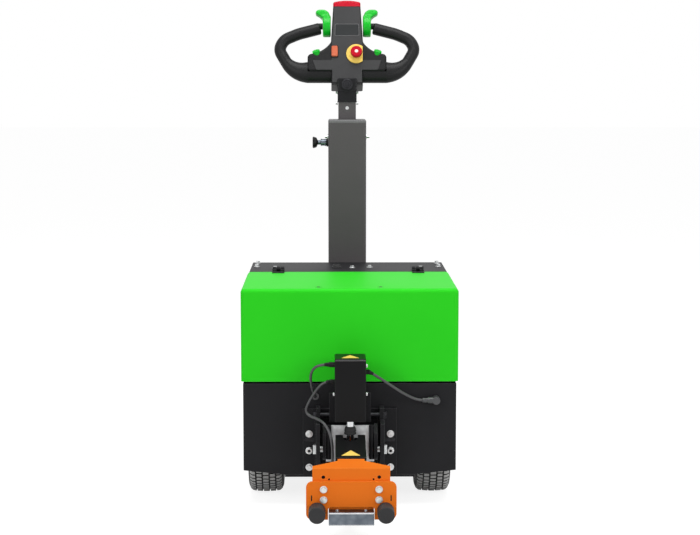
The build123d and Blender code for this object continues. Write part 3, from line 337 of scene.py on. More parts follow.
# %% Leads
lead_diameter = 7
lead_routes = {
    "lead_right": (
        (184, 13, 274), (166, 14, 276), (132, 36, 297), (98, 58, 323), (58, 81, 354), (44, 85, 360),
    ),
    "lead_left": (
        (-50, 95, 380), (-72, 95, 380), (-91, 86, 370), (-99, 71, 348), (-97, 55, 323), (-93, 44, 304),
        (-89, 33, 290), (-87, 20, 283), (-87, 6, 283),
    ),
    "lead_lower": (
        (-46, 70, 332), (-58, 70, 332), (-72, 69, 325), (-86, 66, 308), (-104, 58, 277), (-112, 54, 256),
        (-101, 60, 243), (-82, 78, 241), (-64, 100, 233), (-52, 114, 216), (-45, 120, 190), (-44, 118, 158),
        (-45, 102, 130), (-44, 72, 112), (-44, 36, 102), (-44, 14, 102),
    ),
}
for lead_name, route in lead_routes.items():
    line = bpy.data.curves.new(lead_name + "_sheath", "CURVE")
    line.dimensions = "3D"
    spline = line.splines.new("NURBS")
    spline.points.add(len(route) - 1)
    for point, place in zip(spline.points, route):
        point.co = (*at(*place), 1)
    spline.order_u = 3
    spline.use_endpoint_u = True
    spline.resolution_u = 10
    line.bevel_depth = lead_diameter / 2000
    line.bevel_resolution = 4
    line.materials.append(sheath)
    lead = bpy.data.objects.new(lead_name + "_sheath", line)
    bpy.context.collection.objects.link(lead)
    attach(lead, "chassis")
    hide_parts(lead_name)
print("leads", len(lead_routes))

# %% [markdown]
# Every solid from the frame now gets its finish. The table says which nodes wear each finish.

# %% Finishes of the solids
worn_finish = {
    black_coat: (
        "front_panel", "side_panel_left", "side_panel_right", "rear_panel", "rear_deck", "battery_shelf",
        "keel_pan", "bulkhead", "castor_member", "hitch_bracket", "actuator_bracket", "lift_arm",
        "arm_posts", "head_block", "deck_hinge_leaves", "hood_hinge_leaves",
    ),
    satin_black: ("actuator_housing", "arm_cover"),
    grey_coat: ("column", "tiller_tube"),
    green_coat: ("hood",),
    orange_coat: ("coupler_bracket", "coupler_plate"),
    zinc: ("pivot_bolt", "castor_plate", "castor_fork", "castor_axle"),
    pale_zinc_and_highlight: ("arm_shield",),
    # the catch lip's darker zinc is a painted dark reflection
    dark_reflection_zinc: ("catch_lip",),
    black_steel: ("actuator_bolts",),
    chrome: ("actuator_rod",),
    cast_iron: ("transaxle",),
    motor_enamel: ("drive_motor",),
    rim_enamel: ("rim_left", "rim_right"),
    buffer_rubber: ("buffers",),
    castor_tread: ("castor_tyre",),
    castor_nylon: ("castor_hub",),
    battery_case: ("batteries",),
    case_aluminium: ("controller",),
    grained_abs: ("index_plunger", "head_housing", "grip_left", "grip_right", "cable_glands"),
    # the guide's pale grey also stands as a painted highlight along the column's top edge
    pale_nylon_and_highlight: ("column_guide",),
    plug_plastic: ("front_sockets",),
    red_gloss: ("head_cap", "stop_button"),
    green_gloss: ("paddle_left", "paddle_right", "side_buttons"),
    orange_gloss: ("rocker",),
    yellow_gloss: ("stop_disc",),
}
for finish, names in worn_finish.items():
    for name in names:
        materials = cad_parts[name].data.materials
        materials.clear()
        materials.append(finish)
print("finished nodes", sum(len(names) for names in worn_finish.values()))

# %% [markdown]
# Sheet steel never has knife edges: cutting and coating leave a small radius that catches the light.
# A Weld modifier joins the loose triangles of a solid, Decimate makes its flats whole, and a Bevel then
# rounds the sharp edges. Weighted normals keep the flats looking flat.

# %% Softened sheet edges
weld_gap = 0.00002
sheets_by_radius_mm = {
    1.2: (
        "front_panel", "side_panel_left", "side_panel_right", "rear_panel", "rear_deck", "hitch_bracket",
        "coupler_bracket", "coupler_plate", "head_block",
    ),
    0.9: ("arm_cover", "catch_lip"),
    0.8: ("actuator_bracket", "arm_shield", "tiller_tube", "castor_plate"),
}


def join_triangles(piece):
    """Weld the loose triangles of a solid."""
    weld = piece.modifiers.new("join_triangles", "WELD")
    weld.merge_threshold = weld_gap


def even_light(piece):
    """Shade flats as flats, also beside round edges."""
    even = piece.modifiers.new("even_light", "WEIGHTED_NORMAL")
    even.keep_sharp = True


for radius, names in sheets_by_radius_mm.items():
    for name in names:
        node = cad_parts[name]
        join_triangles(node)
        flat = node.modifiers.new("join_flats", "DECIMATE")
        flat.decimate_type = "DISSOLVE"
        flat.angle_limit = radians(0.5)
        soft = node.modifiers.new("soft_edge", "BEVEL")
        soft.width = radius / 1000
        soft.segments = 2
        soft.limit_method = "ANGLE"
        soft.angle_limit = radians(50)
        even_light(node)
    print("edges of", radius, "mm on", len(names), "pieces")

# %% [markdown]
# The paddles are nylon mouldings that flow from drum to ear without an edge. Rounding every edge of the
# solid by hand would be slow; a voxel Remesh and a Smooth modifier melt drum and ear into one shape.

# %% Flowing paddles
for name in ("paddle_left", "paddle_right"):
    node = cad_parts[name]
    join_triangles(node)
    skin = node.modifiers.new("one_skin", "REMESH")
    skin.mode = "VOXEL"
    skin.voxel_size = 0.0012
    skin.use_smooth_shade = True
    flow = node.modifiers.new("flow", "SMOOTH")
    flow.factor = 0.5
    flow.iterations = 48
print("paddles smoothed")

# %% [markdown]
# New pieces are modelled in bmesh. One function turns a finished shape into a piece: it points the faces
# outwards, shades smooth up to an angle, and makes the piece ride on its body.

# %% Piece helper


def make_piece(shape, name, finish, body, slot, flat_angle=35):
    """Turn a finished bmesh into a piece that rides on a body and wears a finish."""
    bmesh.ops.recalc_face_normals(shape, faces=shape.faces)
    open_edges = sum(1 for edge in shape.edges if not edge.is_manifold)
    mesh = bpy.data.meshes.new(name)
    shape.to_mesh(mesh)
    shape.free()
    mesh.materials.append(finish)
    mesh.shade_smooth()
    mesh.set_sharp_from_angle(angle=radians(flat_angle))
    piece = bpy.data.objects.new(name, mesh)
    bpy.context.collection.objects.link(piece)
    even_light(piece)
    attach(piece, body)
    print(name, len(mesh.polygons), "faces", open_edges, "open edges")
    return piece


# %% [markdown]
# Nearly all the small parts are flat plates, turned shapes or hex bolts, so three functions draw them.
# A plate is an outline pulled up along a vector. A turned shape is a profile spun round its axis, which
# leaves double points on the axis and where a closed profile meets itself: these are merged.

# %% Plates, turned shapes and bolts
merge_gap = 0.00001
washer_thickness = 1.6


def rectangle(width, height):
    """Corners of a rectangle about its middle."""
    x = width / 2
    y = height / 2
    return ((-x, -y), (x, -y), (x, y), (-x, y))


def round_edges(shape, edges, radius, segments=2):
    """Round some edges of a shape by a radius in millimetres."""
    bmesh.ops.bevel(
        shape, geom=list(edges), offset=radius / 1000, offset_type="OFFSET", segments=segments,
        profile=0.5, affect="EDGES", material=-1, clamp_overlap=True,
    )


def add_plate(shape, outline, thickness, corner, rim):
    """Plate from an outline of points and a thickness vector, with round corners and a soft rim."""
    foot = [shape.verts.new(point) for point in outline]
    grown = bmesh.ops.extrude_face_region(shape, geom=[shape.faces.new(foot)])
    top = [item for item in grown["geom"] if isinstance(item, bmesh.types.BMVert)]
    bmesh.ops.translate(shape, verts=top, vec=thickness)
    own = {edge for vert in foot + top for edge in vert.link_edges}
    others = set(shape.edges) - own
    if corner:
        upright = [edge for edge in own if (edge.verts[0] in foot) != (edge.verts[1] in foot)]
        round_edges(shape, upright, corner, 4)
    if rim:
        new = [edge for edge in shape.edges if edge not in others]
        round_edges(shape, [edge for edge in new if edge.calc_face_angle(0) > radians(40)], rim)


def add_turned(shape, profile, foot, axis, steps=28):
    """Turned shape from distances along an axis and radii, both in millimetres."""
    known = set(shape.verts)
    turn = UPWARD.rotation_difference(axis).to_matrix()
    points = [
        shape.verts.new(foot + turn @ Vector((radius / 1000, 0, along / 1000))) for along, radius in profile
    ]
    edges = [shape.edges.new(pair) for pair in zip(points, points[1:])]
    bmesh.ops.spin(
        shape, geom=points + edges, cent=foot, axis=axis, angle=2 * pi, steps=steps,
        use_merge=True, use_duplicate=False,
    )
    spun = [vert for vert in shape.verts if vert not in known]
    bmesh.ops.remove_doubles(shape, verts=spun, dist=merge_gap)


def add_prism(shape, place, sides, radius, height):
    """Upright prism about a place, and the edges it has."""
    prism = bmesh.ops.create_cone(
        shape, cap_ends=True, segments=sides, radius1=radius / 1000, radius2=radius / 1000,
        depth=height / 1000, matrix=place,
    )
    return {edge for vert in prism["verts"] for edge in vert.link_edges}


def add_bolt(shape, foot, axis, head_r, head_t, washer_r):
    """Hex bolt head on its washer, standing on a foot point along an axis, sizes in millimetres."""
    stand = Matrix.Translation(foot) @ UPWARD.rotation_difference(axis).to_matrix().to_4x4()
    washer_t = washer_thickness if washer_r else 0
    if washer_r:
        middle = stand @ Matrix.Translation((0, 0, washer_t / 2000))
        edges = add_prism(shape, middle, 24, washer_r, washer_t)
        round_edges(shape, {edge for edge in edges if edge.calc_face_angle(0) > 1}, 0.3, 1)
    middle = stand @ Matrix.Translation((0, 0, (washer_t + head_t / 2) / 1000))
    round_edges(shape, add_prism(shape, middle, 6, head_r, head_t), 0.09 * head_r)


def plate_piece(name, outline, thickness, corner, rim, *make):
    """One plate as a piece of its own."""
    shape = bmesh.new()
    add_plate(shape, outline, thickness, corner, rim)
    return make_piece(shape, name, *make)


def turned_piece(name, profile, foot, axis, steps, *make):
    """One turned shape as a piece of its own."""
    shape = bmesh.new()
    add_turned(shape, profile, foot, axis, steps)
    return make_piece(shape, name, *make)


print("corners of a square of 2:", rectangle(2, 2))

# %% [markdown]
# The tyres are small pneumatic ones with block tread. A spun profile gives the carcass. Blocks for five
# ribs, with the outer ones wrapped over the shoulder, are made once and spun round as copies. What faces
# outwards on a block is painted a much lighter rubber grey, as painted light on the tread.

# %% Tyres
# distances from the middle plane and radii
flank = ((37, 56), (43, 64), (45, 78), (45, 100), (44, 110), (43, 120), (38, 126), (28, 129))
other_flank = [(-x, radius) for x, radius in flank]
tyre_profile = (*other_flank, (0, 130), *reversed(flank), other_flank[0])
centre_rib = ((-7, 128), (-7, 134.8), (7, 134.8), (7, 128))
inner_rib = ((11, 127), (11, 134.6), (23.5, 133.8), (23.5, 127))
shoulder_rib = (
    (27.5, 126), (27.5, 133.4), (35, 132), (41, 127), (44.8, 118), (44.8, 108), (42, 106), (36, 120),
)
# rib, its side of the middle plane, and how far its blocks are turned, in pitches
rib_rows = (
    (centre_rib, 1, 0.0),
    (inner_rib, 1, 0.5),
    (inner_rib, -1, 0.5),
    (shoulder_rib, 1, 0.0),
    (shoulder_rib, -1, 0.0),
)
block_count = 64
block_length = 9.2
block_pitch = 2 * pi / block_count
# faces turned outwards more than this are painted the lighter rubber, as light on the tread
lit_face_from = 0.72
for side in ("left", "right"):
    low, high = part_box("tyre_" + side)
    centre = (low + high) / 2
    tyre = bmesh.new()
    add_turned(tyre, tyre_profile, centre, RIGHTWARD, 96)
    for rib, half, turned in rib_rows:
        foot = [Vector((half * x / 1000, -block_length / 2000, radius / 1000)) for x, radius in rib]
        known = set(tyre.verts)
        add_plate(tyre, foot, Vector((0, block_length / 1000, 0)), 0, 0)
        block = [vert for vert in tyre.verts if vert not in known]
        turn = Matrix.Rotation(turned * block_pitch, 3, "X")
        bmesh.ops.transform(tyre, matrix=Matrix.Translation(centre) @ turn.to_4x4(), verts=block)
        faces = {face for vert in block for face in vert.link_faces}
        for face in faces:
            face.normal_update()
            outward = face.calc_center_median() - centre
            outward.x = 0
            face.material_index = int(abs(face.normal.dot(outward.normalized())) > lit_face_from)
        edges = {edge for vert in block for edge in vert.link_edges}
        bmesh.ops.spin(
            tyre, geom=[*block, *edges, *faces], cent=centre, axis=RIGHTWARD, angle=2 * pi - block_pitch,
            steps=block_count - 1, use_duplicate=True,
        )
    tyre_piece = make_piece(tyre, "tyre_tread_" + side, tyre_rubber, "wheel_" + side, "tyre_rubber", 30)
    # second finish: the lighter rubber painted on the outward faces as light
    tyre_piece.data.materials.append(painted_light_tread)
    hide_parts("tyre_" + side)

# %% [markdown]
# Each wheel runs in a black liner that keeps dirt out of the body. It is a thin strip, spun a little more
# than half round the axle and closed at both ends.

# %% Wheel liners
liner_strip = ((168, 150), (265.5, 150), (265.5, 151.6), (168, 151.6))
liner_dip = radians(18)
liner_start = Vector((0, -cos(liner_dip), -sin(liner_dip)))
for side, sign in (("left", -1), ("right", 1)):
    low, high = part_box("tyre_" + side)
    axle = Vector((0, (low.y + high.y) / 2, (low.z + high.z) / 2))
    liner = bmesh.new()
    points = [
        liner.verts.new(axle + (sign * x * RIGHTWARD + radius * liner_start) / 1000)
        for x, radius in liner_strip
    ]
    edges = [liner.edges.new(pair) for pair in zip(points, points[1:] + points[:1])]
    bmesh.ops.spin(
        liner, geom=points + edges, cent=axle, axis=-RIGHTWARD, angle=pi + 2 * liner_dip, steps=44,
        use_duplicate=False,
    )
    bmesh.ops.holes_fill(liner, edges=[edge for edge in liner.edges if edge.is_boundary], sides=4)
    make_piece(liner, "wheel_liner_" + side, grained_abs, "chassis", "black_plastic")

# %% [markdown]
# Zinc-plated hex bolts hold the machine together. A row gives each one's place, way, head and washer;
# bolts on one body are joined in one mesh, because they are many, small and alike.

# %% Bolts
# head radius, head height and washer radius in millimetres
plate_bolt = (6.4, 5.0, 9.2)
box_screw = (4.6, 4.5, 0)
deck_bolt = (5.5, 4.5, 8.5)
corner_bolt = (6.0, 6.0, 8.0)
panel_bolt = (5.0, 3.5, 7.5)
column_bolt = (4.2, 8.0, 8.0)
coupler_bolt = (7.2, 5.5, 8.8)
lip_screw = (3.6, 3.0, 0)
tube_bolt = (4.2, 4.0, 5.5)
back_face = 8
stud_x = 103
box_side = 38.5
box_screw_reach = 96
rear_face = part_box("rear_panel")[1].y
panel_bolt_x = 0.248
column_bolt_y = column_y - 0.022
column_bolt_z = 0.914
tube_half = 0.027
deck_places = ((-202, -452), (202, -452), (12, -465), (61, -472))
corner_places = [(side * 254, reach) for side in SIDES for reach in (-570, -489)]
chassis_bolts = [
    *((at(side * stud_x, back_face, z), HITCHWARD, *plate_bolt) for side in SIDES for z in (187, 101)),
    *((at(box_side, box_screw_reach, z), RIGHTWARD, *box_screw) for z in (377, 306)),
    (at(-box_side, box_screw_reach, 306), -RIGHTWARD, *box_screw),
    *((at(x, reach, deck_z), UPWARD, *deck_bolt) for x, reach in deck_places),
    *((at(x, reach, deck_z), UPWARD, *corner_bolt) for x, reach in corner_places),
    *(
        (Vector((side * panel_bolt_x, rear_face, z)), -HITCHWARD, *panel_bolt)
        for side in SIDES for z in (0.110, 0.240, 0.370, 0.500)
    ),
    *(
        (Vector((side * column_high.x, column_bolt_y, column_bolt_z)), side * RIGHTWARD, *column_bolt)
        for side in SIDES
    ),
]
arm_bolts = [
    *((at(side * 65.5, 312, z), HITCHWARD, *coupler_bolt) for side in SIDES for z in (119, 94)),
    *((at(side * 34, 319, 70), UPWARD, *lip_screw) for side in SIDES),
]
tiller_bolts = [
    (Vector((side * tube_half, column_y, z)), side * RIGHTWARD, *tube_bolt)
    for side in SIDES for z in (1.009, 1.040)
]
for name, rows, body in (
    ("chassis_bolts", chassis_bolts, "chassis"),
    ("arm_bolts", arm_bolts, "hitch_arm"),
    ("tiller_bolts", tiller_bolts, "tiller"),
):
    bolts = bmesh.new()
    for row in rows:
        add_bolt(bolts, *row)
    make_piece(bolts, name, zinc, body, "zinc")

# %% [markdown]
# Halfway up the back plate, ring nuts hold black studs. Beside them, thin dark plates are painted shade
# for the recessed slots that take the bracket's adjusters. The nuts are turned with their bore open, so
# that the studs show inside.

# %% Back plate details
ring_profile = ((0, 4), (0, 9.2), (1.6, 9.2), (1.8, 8.6), (6, 8.2), (6.8, 7.2), (6.8, 4), (0, 4))
stud_profile = ((0, 0), (0, 3.9), (4.4, 3.9), (5, 3), (5, 0))
stud_z = 144
slot_x = 99
slot_z = 172
ring_nuts = bmesh.new()
studs = bmesh.new()
slot_shades = bmesh.new()
for side in SIDES:
    stud_foot = at(side * stud_x, back_face, stud_z)
    add_turned(ring_nuts, ring_profile, stud_foot, HITCHWARD)
    add_turned(studs, stud_profile, stud_foot, HITCHWARD)
    slot_shade_outline = [at(side * slot_x + x, back_face - 0.2, slot_z + z) for x, z in rectangle(32, 9)]
    add_plate(slot_shades, slot_shade_outline, HITCHWARD * 0.0012, 4.2, 0.3)
make_piece(ring_nuts, "back_plate_nuts", zinc, "chassis", "zinc")
make_piece(studs, "back_plate_studs", black_steel, "chassis", "black_paint")
# the slots are dark plates: painted shade of the recesses
make_piece(slot_shades, "back_plate_slot_shades", black_steel, "chassis", "black_paint")

# %% [markdown]
# Weld beads join the upright flanges to the back plate, and the column to the rear panel along both its
# sides. A bead is a row of overlapping drops, which looks right at a distance and costs few faces.

# %% Weld beads
bead_pitch = 0.004
drop_radius = 0.0034
drop_inset = 0.0006
column_weld_z = 0.146
column_drops = 101
flange_weld_z = 92
flange_drops = 36


def add_bead(shape, foot, drops):
    """Upright row of overlapping drops."""
    for step in range(drops):
        place = Matrix.Translation(foot + UPWARD * bead_pitch * step)
        bmesh.ops.create_icosphere(shape, subdivisions=1, radius=drop_radius, matrix=place)


beads = bmesh.new()
for side in SIDES:
    corner_x = side * (column_high.x + drop_inset)
    add_bead(beads, Vector((corner_x, column_low.y + drop_inset, column_weld_z)), column_drops)
for x in (-86.6, -73.4, 73.4, 86.6):
    add_bead(beads, at(x, back_face, flange_weld_z) + HITCHWARD * drop_inset, flange_drops)
make_piece(beads, "bracket_welds", black_coat, "chassis", "black_paint", 80)

# %% [markdown]
# A thin pale line across the front of the actuator's box, along its top edge, is a painted highlight of
# the light that the rounded edge catches. It is a plate of its own, because the solids of the frame stay
# as they are.

# %% Painted highlight on the box's edge
edge_line_reach = 134.8
edge_line_z = 396.2
edge_line_outline = [at(x, edge_line_reach, edge_line_z + z) for x, z in rectangle(74.8, 1.6)]
# pale strip on the box's top front edge: a painted highlight
plate_piece(
    "box_edge_highlight", edge_line_outline, HITCHWARD * 0.0006, 0, 0.2, pale_nylon_and_highlight, "chassis", "black_plastic"
)

# %% [markdown]
# Wheel nuts sit in a ring on the rim's disc, and a rubber valve stem stands between two of them. They are
# placed by angle, and they ride on the wheel so that they turn with it.

# %% Wheel nuts and valve stems
stem_profile = ((0, 0), (0, 4), (5, 3.8), (7, 2.8), (15, 2.6), (15.5, 3.3), (21, 3.3), (22, 2.4), (22, 0))
wheel_nut = (6.5, 6.0, 9.0)
nut_count = 5
nut_circle = 40
stem_circle = 47
disc_half = 5


def on_disc(angle, radius):
    """Point on a wheel's disc, from its middle, by angle and millimetres."""
    return Vector((0, cos(angle), sin(angle))) * radius / 1000


for side, sign in (("left", -1), ("right", 1)):
    low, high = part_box("rim_" + side)
    outward = sign * RIGHTWARD
    disc = (low + high) / 2 + outward * disc_half / 1000
    wheel_nuts = bmesh.new()
    for step in range(nut_count):
        add_bolt(wheel_nuts, disc + on_disc(step * 2 * pi / nut_count, nut_circle), outward, *wheel_nut)
    make_piece(wheel_nuts, "wheel_nuts_" + side, zinc, "wheel_" + side, "zinc")
    stem_foot = disc + on_disc(pi / nut_count, stem_circle)
    turned_piece(
        "valve_stem_" + side, stem_profile, stem_foot, outward, 16,
        buffer_rubber, "wheel_" + side, "tyre_rubber",
    )

# %% [markdown]
# The head's front carries a flush satin panel in a T shape, a blank plate and a frame round the rocker.
# Each is a plate drawn on the leaning head and rounded at its rim.

# %% Head panel, blank plate and rocker frame
panel_half = (
    (36.5, 248), (43, 143), (43.5, 86), (98, 86), (88, 57), (42.5, 57), (42.5, 19), (28, 19), (28, 30),
)
panel_outline = [*panel_half, *((-x, along) for x, along in reversed(panel_half))]


def blank_corners(grow):
    """Corners of the blank plate, which narrows upwards, grown on all sides."""
    low_half = 34 + grow
    high_half = 33 + grow
    low = 161 - grow
    high = 195 + grow
    return ((-low_half, low), (low_half, low), (high_half, high), (-high_half, high))


rocker_corners = [(x - 35.5, along + 112) for x, along in rectangle(22, 36)]
# name, corners, distance out of the head, thickness, corner radius, rim radius and finish
head_plates = (
    ("head_panel", panel_outline, 27, 2.2, 3, 0.6, satin_abs),
    ("plate_frame", blank_corners(1.2), 28.6, 1.2, 3.5, 0.3, pale_nylon_and_highlight),
    ("blank_plate", blank_corners(0), 29, 1.2, 3, 0.35, plate_plastic),
    ("rocker_frame", rocker_corners, 28, 3.2, 4, 0.6, grained_abs),
)
for name, corners, out, thickness, corner, rim, finish in head_plates:
    outline = [on_head(x, along, out) for x, along in corners]
    plate_piece(name, outline, HEADWARD * thickness / 1000, corner, rim, finish, "tiller", "black_plastic")

# %% [markdown]
# The stop button has a pale mark on its crown, and the block below the head a socket screw in a ring.
# Both are turned, the screw with its ring and hollow in one profile.

# %% Button mark and block screw
mark_profile = ((0, 0), (0, 5.2), (0.6, 4.9), (0.9, 3.0), (1.0, 0))
mark_foot = on_head(26.5, 104.5, 53.6)
turned_piece("stop_button_mark", mark_profile, mark_foot, HEADWARD, 28, pale_mark, "tiller", "red_plastic")

boss_height = 0.006
block_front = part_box("head_block")[0].y
face_z = 1.0615
face_outline = [Vector((x, block_front + boss_height, face_z + z)) for x, z in rectangle(0.051, 0.035)]
plate_piece("block_face", face_outline, HITCHWARD * 0.0018, 2.5, 0.6, black_coat, "tiller", "black_paint")
socket_profile = (
    (0, 0), (0, 15.4), (1.6, 15.4), (2.2, 14.6), (2.2, 11.6), (0.8, 11.2), (0.8, 9.6), (3.0, 9.2),
    (3.4, 8.4), (3.4, 5.2), (1.2, 5.0), (1.2, 0),
)
socket_foot = Vector((0, block_front, 1.063))
turned_piece(
    "block_screw", socket_profile, socket_foot, HITCHWARD, 28, black_steel, "tiller", "black_paint"
)

# %% [markdown]
# Two plain yellow triangles mark the actuator's top and the arm's cover. A shade in the paint would do
# from afar, but thin plates with a soft rim catch the light as real ones do.

# %% Yellow triangles
sunk = 0.1
box_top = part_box("actuator_housing")[1].z * 1000
box_outline = [at(x, reach, box_top - sunk) for x, reach in ((-22, 118), (22, 118), (0, 76))]
plate_piece(
    "actuator_triangle", box_outline, UPWARD * 0.0006, 2, 0.2, yellow_gloss, "chassis", "yellow_plastic"
)


cover_start = 115
cover_start_z = 208
cover_slope = 0.2


def cover_top(reach):
    """Height of the sloped cover's top, in millimetres."""
    return cover_start_z - cover_slope * (reach - cover_start)


cover_outline = [at(x, reach, cover_top(reach) - sunk) for x, reach in ((-23, 238), (23, 238), (0, 208))]
plate_piece(
    "cover_triangle", cover_outline, UPWARD * 0.0007, 2, 0.2, yellow_gloss, "hitch_arm", "yellow_plastic"
)

# %% [markdown]
# A rubber boot closes the gap between the actuator's bright rod and the arm's cover. It is one turned
# shape round the rod, and it rides with the rod, so it stays on it when the hitch lifts.

# %% Rod boot
boot_profile = (
    (0, 10.1), (0, 15.2), (3, 15.4), (5, 14.2), (7, 14.2), (8.5, 15), (13, 14.4), (17, 12.4), (19, 11.4),
    (19, 10.1), (0, 10.1),
)
turned_piece(
    "rod_boot", boot_profile, at(0, 100, 207), UPWARD, 36, buffer_rubber, "actuator_rod", "buffer_rubber"
)

# %% [markdown]
# Each lead leaves its gland through a short tapered strain relief, which keeps it from kinking there. The
# left lead goes into the body through a rubber grommet.

# %% Strain reliefs and grommet
relief_profile = (
    (0, 3), (0, 6.4), (3, 6.2), (4, 5.2), (6, 5.6), (7, 4.9), (9, 5.2), (10, 4.6), (14, 4.2), (14, 3),
    (0, 3),
)
reliefs = bmesh.new()
# lead, its point at the gland and the next point
for name, end, inward in (("lead_left", 0, 1), ("lead_lower", 0, 1), ("lead_right", -1, -2)):
    foot = at(*lead_routes[name][end])
    along = at(*lead_routes[name][inward]) - foot
    add_turned(reliefs, relief_profile, foot, along.normalized(), 20)
make_piece(reliefs, "strain_reliefs", grained_abs, "chassis", "black_plastic")

grommet_profile = ((0, 3.6), (0, 9), (2.6, 8.6), (4.4, 7), (5.4, 5.4), (5.4, 3.6), (0, 3.6))
turned_piece(
    "panel_grommet", grommet_profile, at(-87, 0, 283), HITCHWARD, 24,
    buffer_rubber, "chassis", "buffer_rubber",
)

# %% [markdown]
# The index plunger slides in a plated sleeve on the column's side: a barrel and a narrower neck, turned
# on one axis.

# %% Plunger sleeve
barrel_profile = (
    (0, 8.6), (0, 10), (1, 10.6), (4, 10.6), (5, 9.8), (13, 9.8), (14, 10.4), (16, 10.4), (16.6, 9.6),
    (16.6, 8.6), (0, 8.6),
)
neck_profile = ((17.6, 5.6), (17.6, 6.8), (23.6, 6.8), (23.6, 5.6), (17.6, 5.6))
sleeve_foot = Vector((column_low.x - 0.0054, column_y, 0.897))
sleeve = bmesh.new()
for profile in (barrel_profile, neck_profile):
    add_turned(sleeve, profile, sleeve_foot, -RIGHTWARD)
# the sleeve wears the darker zinc with its painted dark reflection
make_piece(sleeve, "plunger_sleeve", dark_reflection_zinc, "chassis", "zinc")

# %% [markdown]
# A pale zinc bush sits in the tube's top index hole; its bright face is painted light for the lit far
# wall inside the hole. Two bright strips on the catch lip are painted highlights of the light its rounded
# edges catch: one along the bend and one along the foot.

# %% Index hole light and lip edge highlights
hole_light_profile = ((0, 0), (0, 4.8), (3, 4.8), (3, 2.4), (1.6, 2), (1.6, 0))
hole_light_foot = Vector((0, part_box("tiller_tube")[0].y + 0.0044, 0.996))
# pale zinc bush in the index hole: painted light for the lit wall inside
turned_piece("index_hole_light", hole_light_profile, hole_light_foot, HITCHWARD, 20, zinc, "tiller", "zinc")

lip_low, lip_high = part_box("catch_lip")
# two bright strips along the lip's bend and foot: painted highlights
lip_edge_highlights = bmesh.new()
for z, height in ((lip_low.z + 0.0014, 0.0012), (lip_high.z - 0.0021, 0.0026)):
    corners = rectangle(lip_high.x - lip_low.x - 0.002, height)
    outline = [Vector(((lip_low.x + lip_high.x) / 2 + x, lip_low.y + 0.0008, z + up)) for x, up in corners]
    add_plate(lip_edge_highlights, outline, HITCHWARD * 0.001, 0, 0.3)
make_piece(lip_edge_highlights, "lip_edge_highlights", pale_zinc_and_highlight, "hitch_arm", "zinc")

# %% [markdown]
# The coupler's four threaded holes end in closed weld nuts behind the plate, so they look dark from the
# front. Dark tabs sit a little back in the two slits as painted shade, so that the slits read dark.

# %% Coupler nuts and slit shades
coupler_back = 300
nut_wall = 3.5
nut_depth = 9
thread_depth = 6.5
weld_nuts = bmesh.new()
# distance across, height and bore radius
for half, z, bore in ((66, 147, 4.5), (52.5, 142, 2.5)):
    outer = bore + nut_wall
    cup = (
        (thread_depth, 0), (thread_depth, bore), (0, bore), (0, outer), (nut_depth, outer), (nut_depth, 0),
    )
    for side in SIDES:
        add_turned(weld_nuts, cup, at(side * half, coupler_back, z), -HITCHWARD, 18)
make_piece(weld_nuts, "coupler_weld_nuts", black_steel, "hitch_arm", "black_paint")

tab_x = 94
tab_z = 98
tab_back = coupler_back + 5
slit_shades = bmesh.new()
for side in SIDES:
    tab_outline = [at(side * tab_x + x, tab_back, tab_z + z) for x, z in rectangle(4, 16)]
    add_plate(slit_shades, tab_outline, HITCHWARD * 0.0056, 0, 0.3)
# dark tabs in the slits: painted shade
make_piece(slit_shades, "coupler_slit_shades", satin_black, "hitch_arm", "black_paint")

# %% [markdown]
# Under the hood stand two batteries. They get lids with filler plugs, terminals and a bridge: plates and
# turned shapes, set out from the batteries' own box.

# %% Batteries
plug_profile = ((0, 0), (0, 11), (3, 11), (4, 9.6), (4, 4), (2.6, 3.4), (2.6, 0))
post_profile = ((0, 0), (0, 10), (2, 10), (3, 8), (12, 7.4), (13, 6.4), (13, 0))
battery_x = 83
lid_rise = 5.8
plug_count = 6
plug_pitch = 34
post_offset = 46
post_reach = 88
bridge_rise = 13
low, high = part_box("batteries")
battery_top = high.z * 1000
middle_reach = (body_front - (low.y + high.y) / 2) * 1000
lids = bmesh.new()
plugs = bmesh.new()
posts = bmesh.new()
covers = bmesh.new()
for side in SIDES:
    lid_corners = rectangle(144, 224)
    outline = [at(side * battery_x + x, middle_reach + reach, battery_top) for x, reach in lid_corners]
    add_plate(lids, outline, UPWARD * 0.006, 5, 1.2)
    for step in range(plug_count):
        plug_reach = middle_reach + (step - (plug_count - 1) / 2) * plug_pitch
        foot = at(side * battery_x, plug_reach, battery_top + lid_rise)
        add_turned(plugs, plug_profile, foot, UPWARD, 24)
    for offset, shape in ((-post_offset, posts), (post_offset, covers)):
        foot = at(side * battery_x + offset, middle_reach + post_reach, battery_top + lid_rise)
        add_turned(shape, post_profile, foot, UPWARD, 24)
bridge_z = battery_top + bridge_rise
bridge_outline = [at(x, middle_reach + post_reach + y, bridge_z) for x, y in rectangle(74, 18)]
add_plate(posts, bridge_outline, UPWARD * 0.003, 6, 0.6)
make_piece(lids, "battery_lids", grained_abs, "chassis", "battery_case")
make_piece(plugs, "battery_plugs", yellow_gloss, "chassis", "yellow_plastic")
make_piece(posts, "battery_posts", zinc, "chassis", "zinc")
make_piece(covers, "battery_covers", red_gloss, "chassis", "red_plastic")

# %% [markdown]
# The motor controller beside them is cooled by a row of upright fins, set out evenly across its box.

# %% Controller fins
fin_count = 17
fin_thickness = 0.0028
fin_inset = 0.012
low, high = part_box("controller")
fin_pitch = (high.x - low.x - 2 * fin_inset) / (fin_count - 1)
fin_corners = rectangle(fin_thickness, high.z - low.z - 2 * fin_inset)
fins = bmesh.new()
for step in range(fin_count):
    middle = Vector((low.x + fin_inset + step * fin_pitch, low.y + 0.0005, (low.z + high.z) / 2))
    add_plate(fins, [middle + Vector((x, 0, z)) for x, z in fin_corners], HITCHWARD * 0.009, 0, 0.4)
make_piece(fins, "controller_fins", case_aluminium, "chassis", "controller_case")

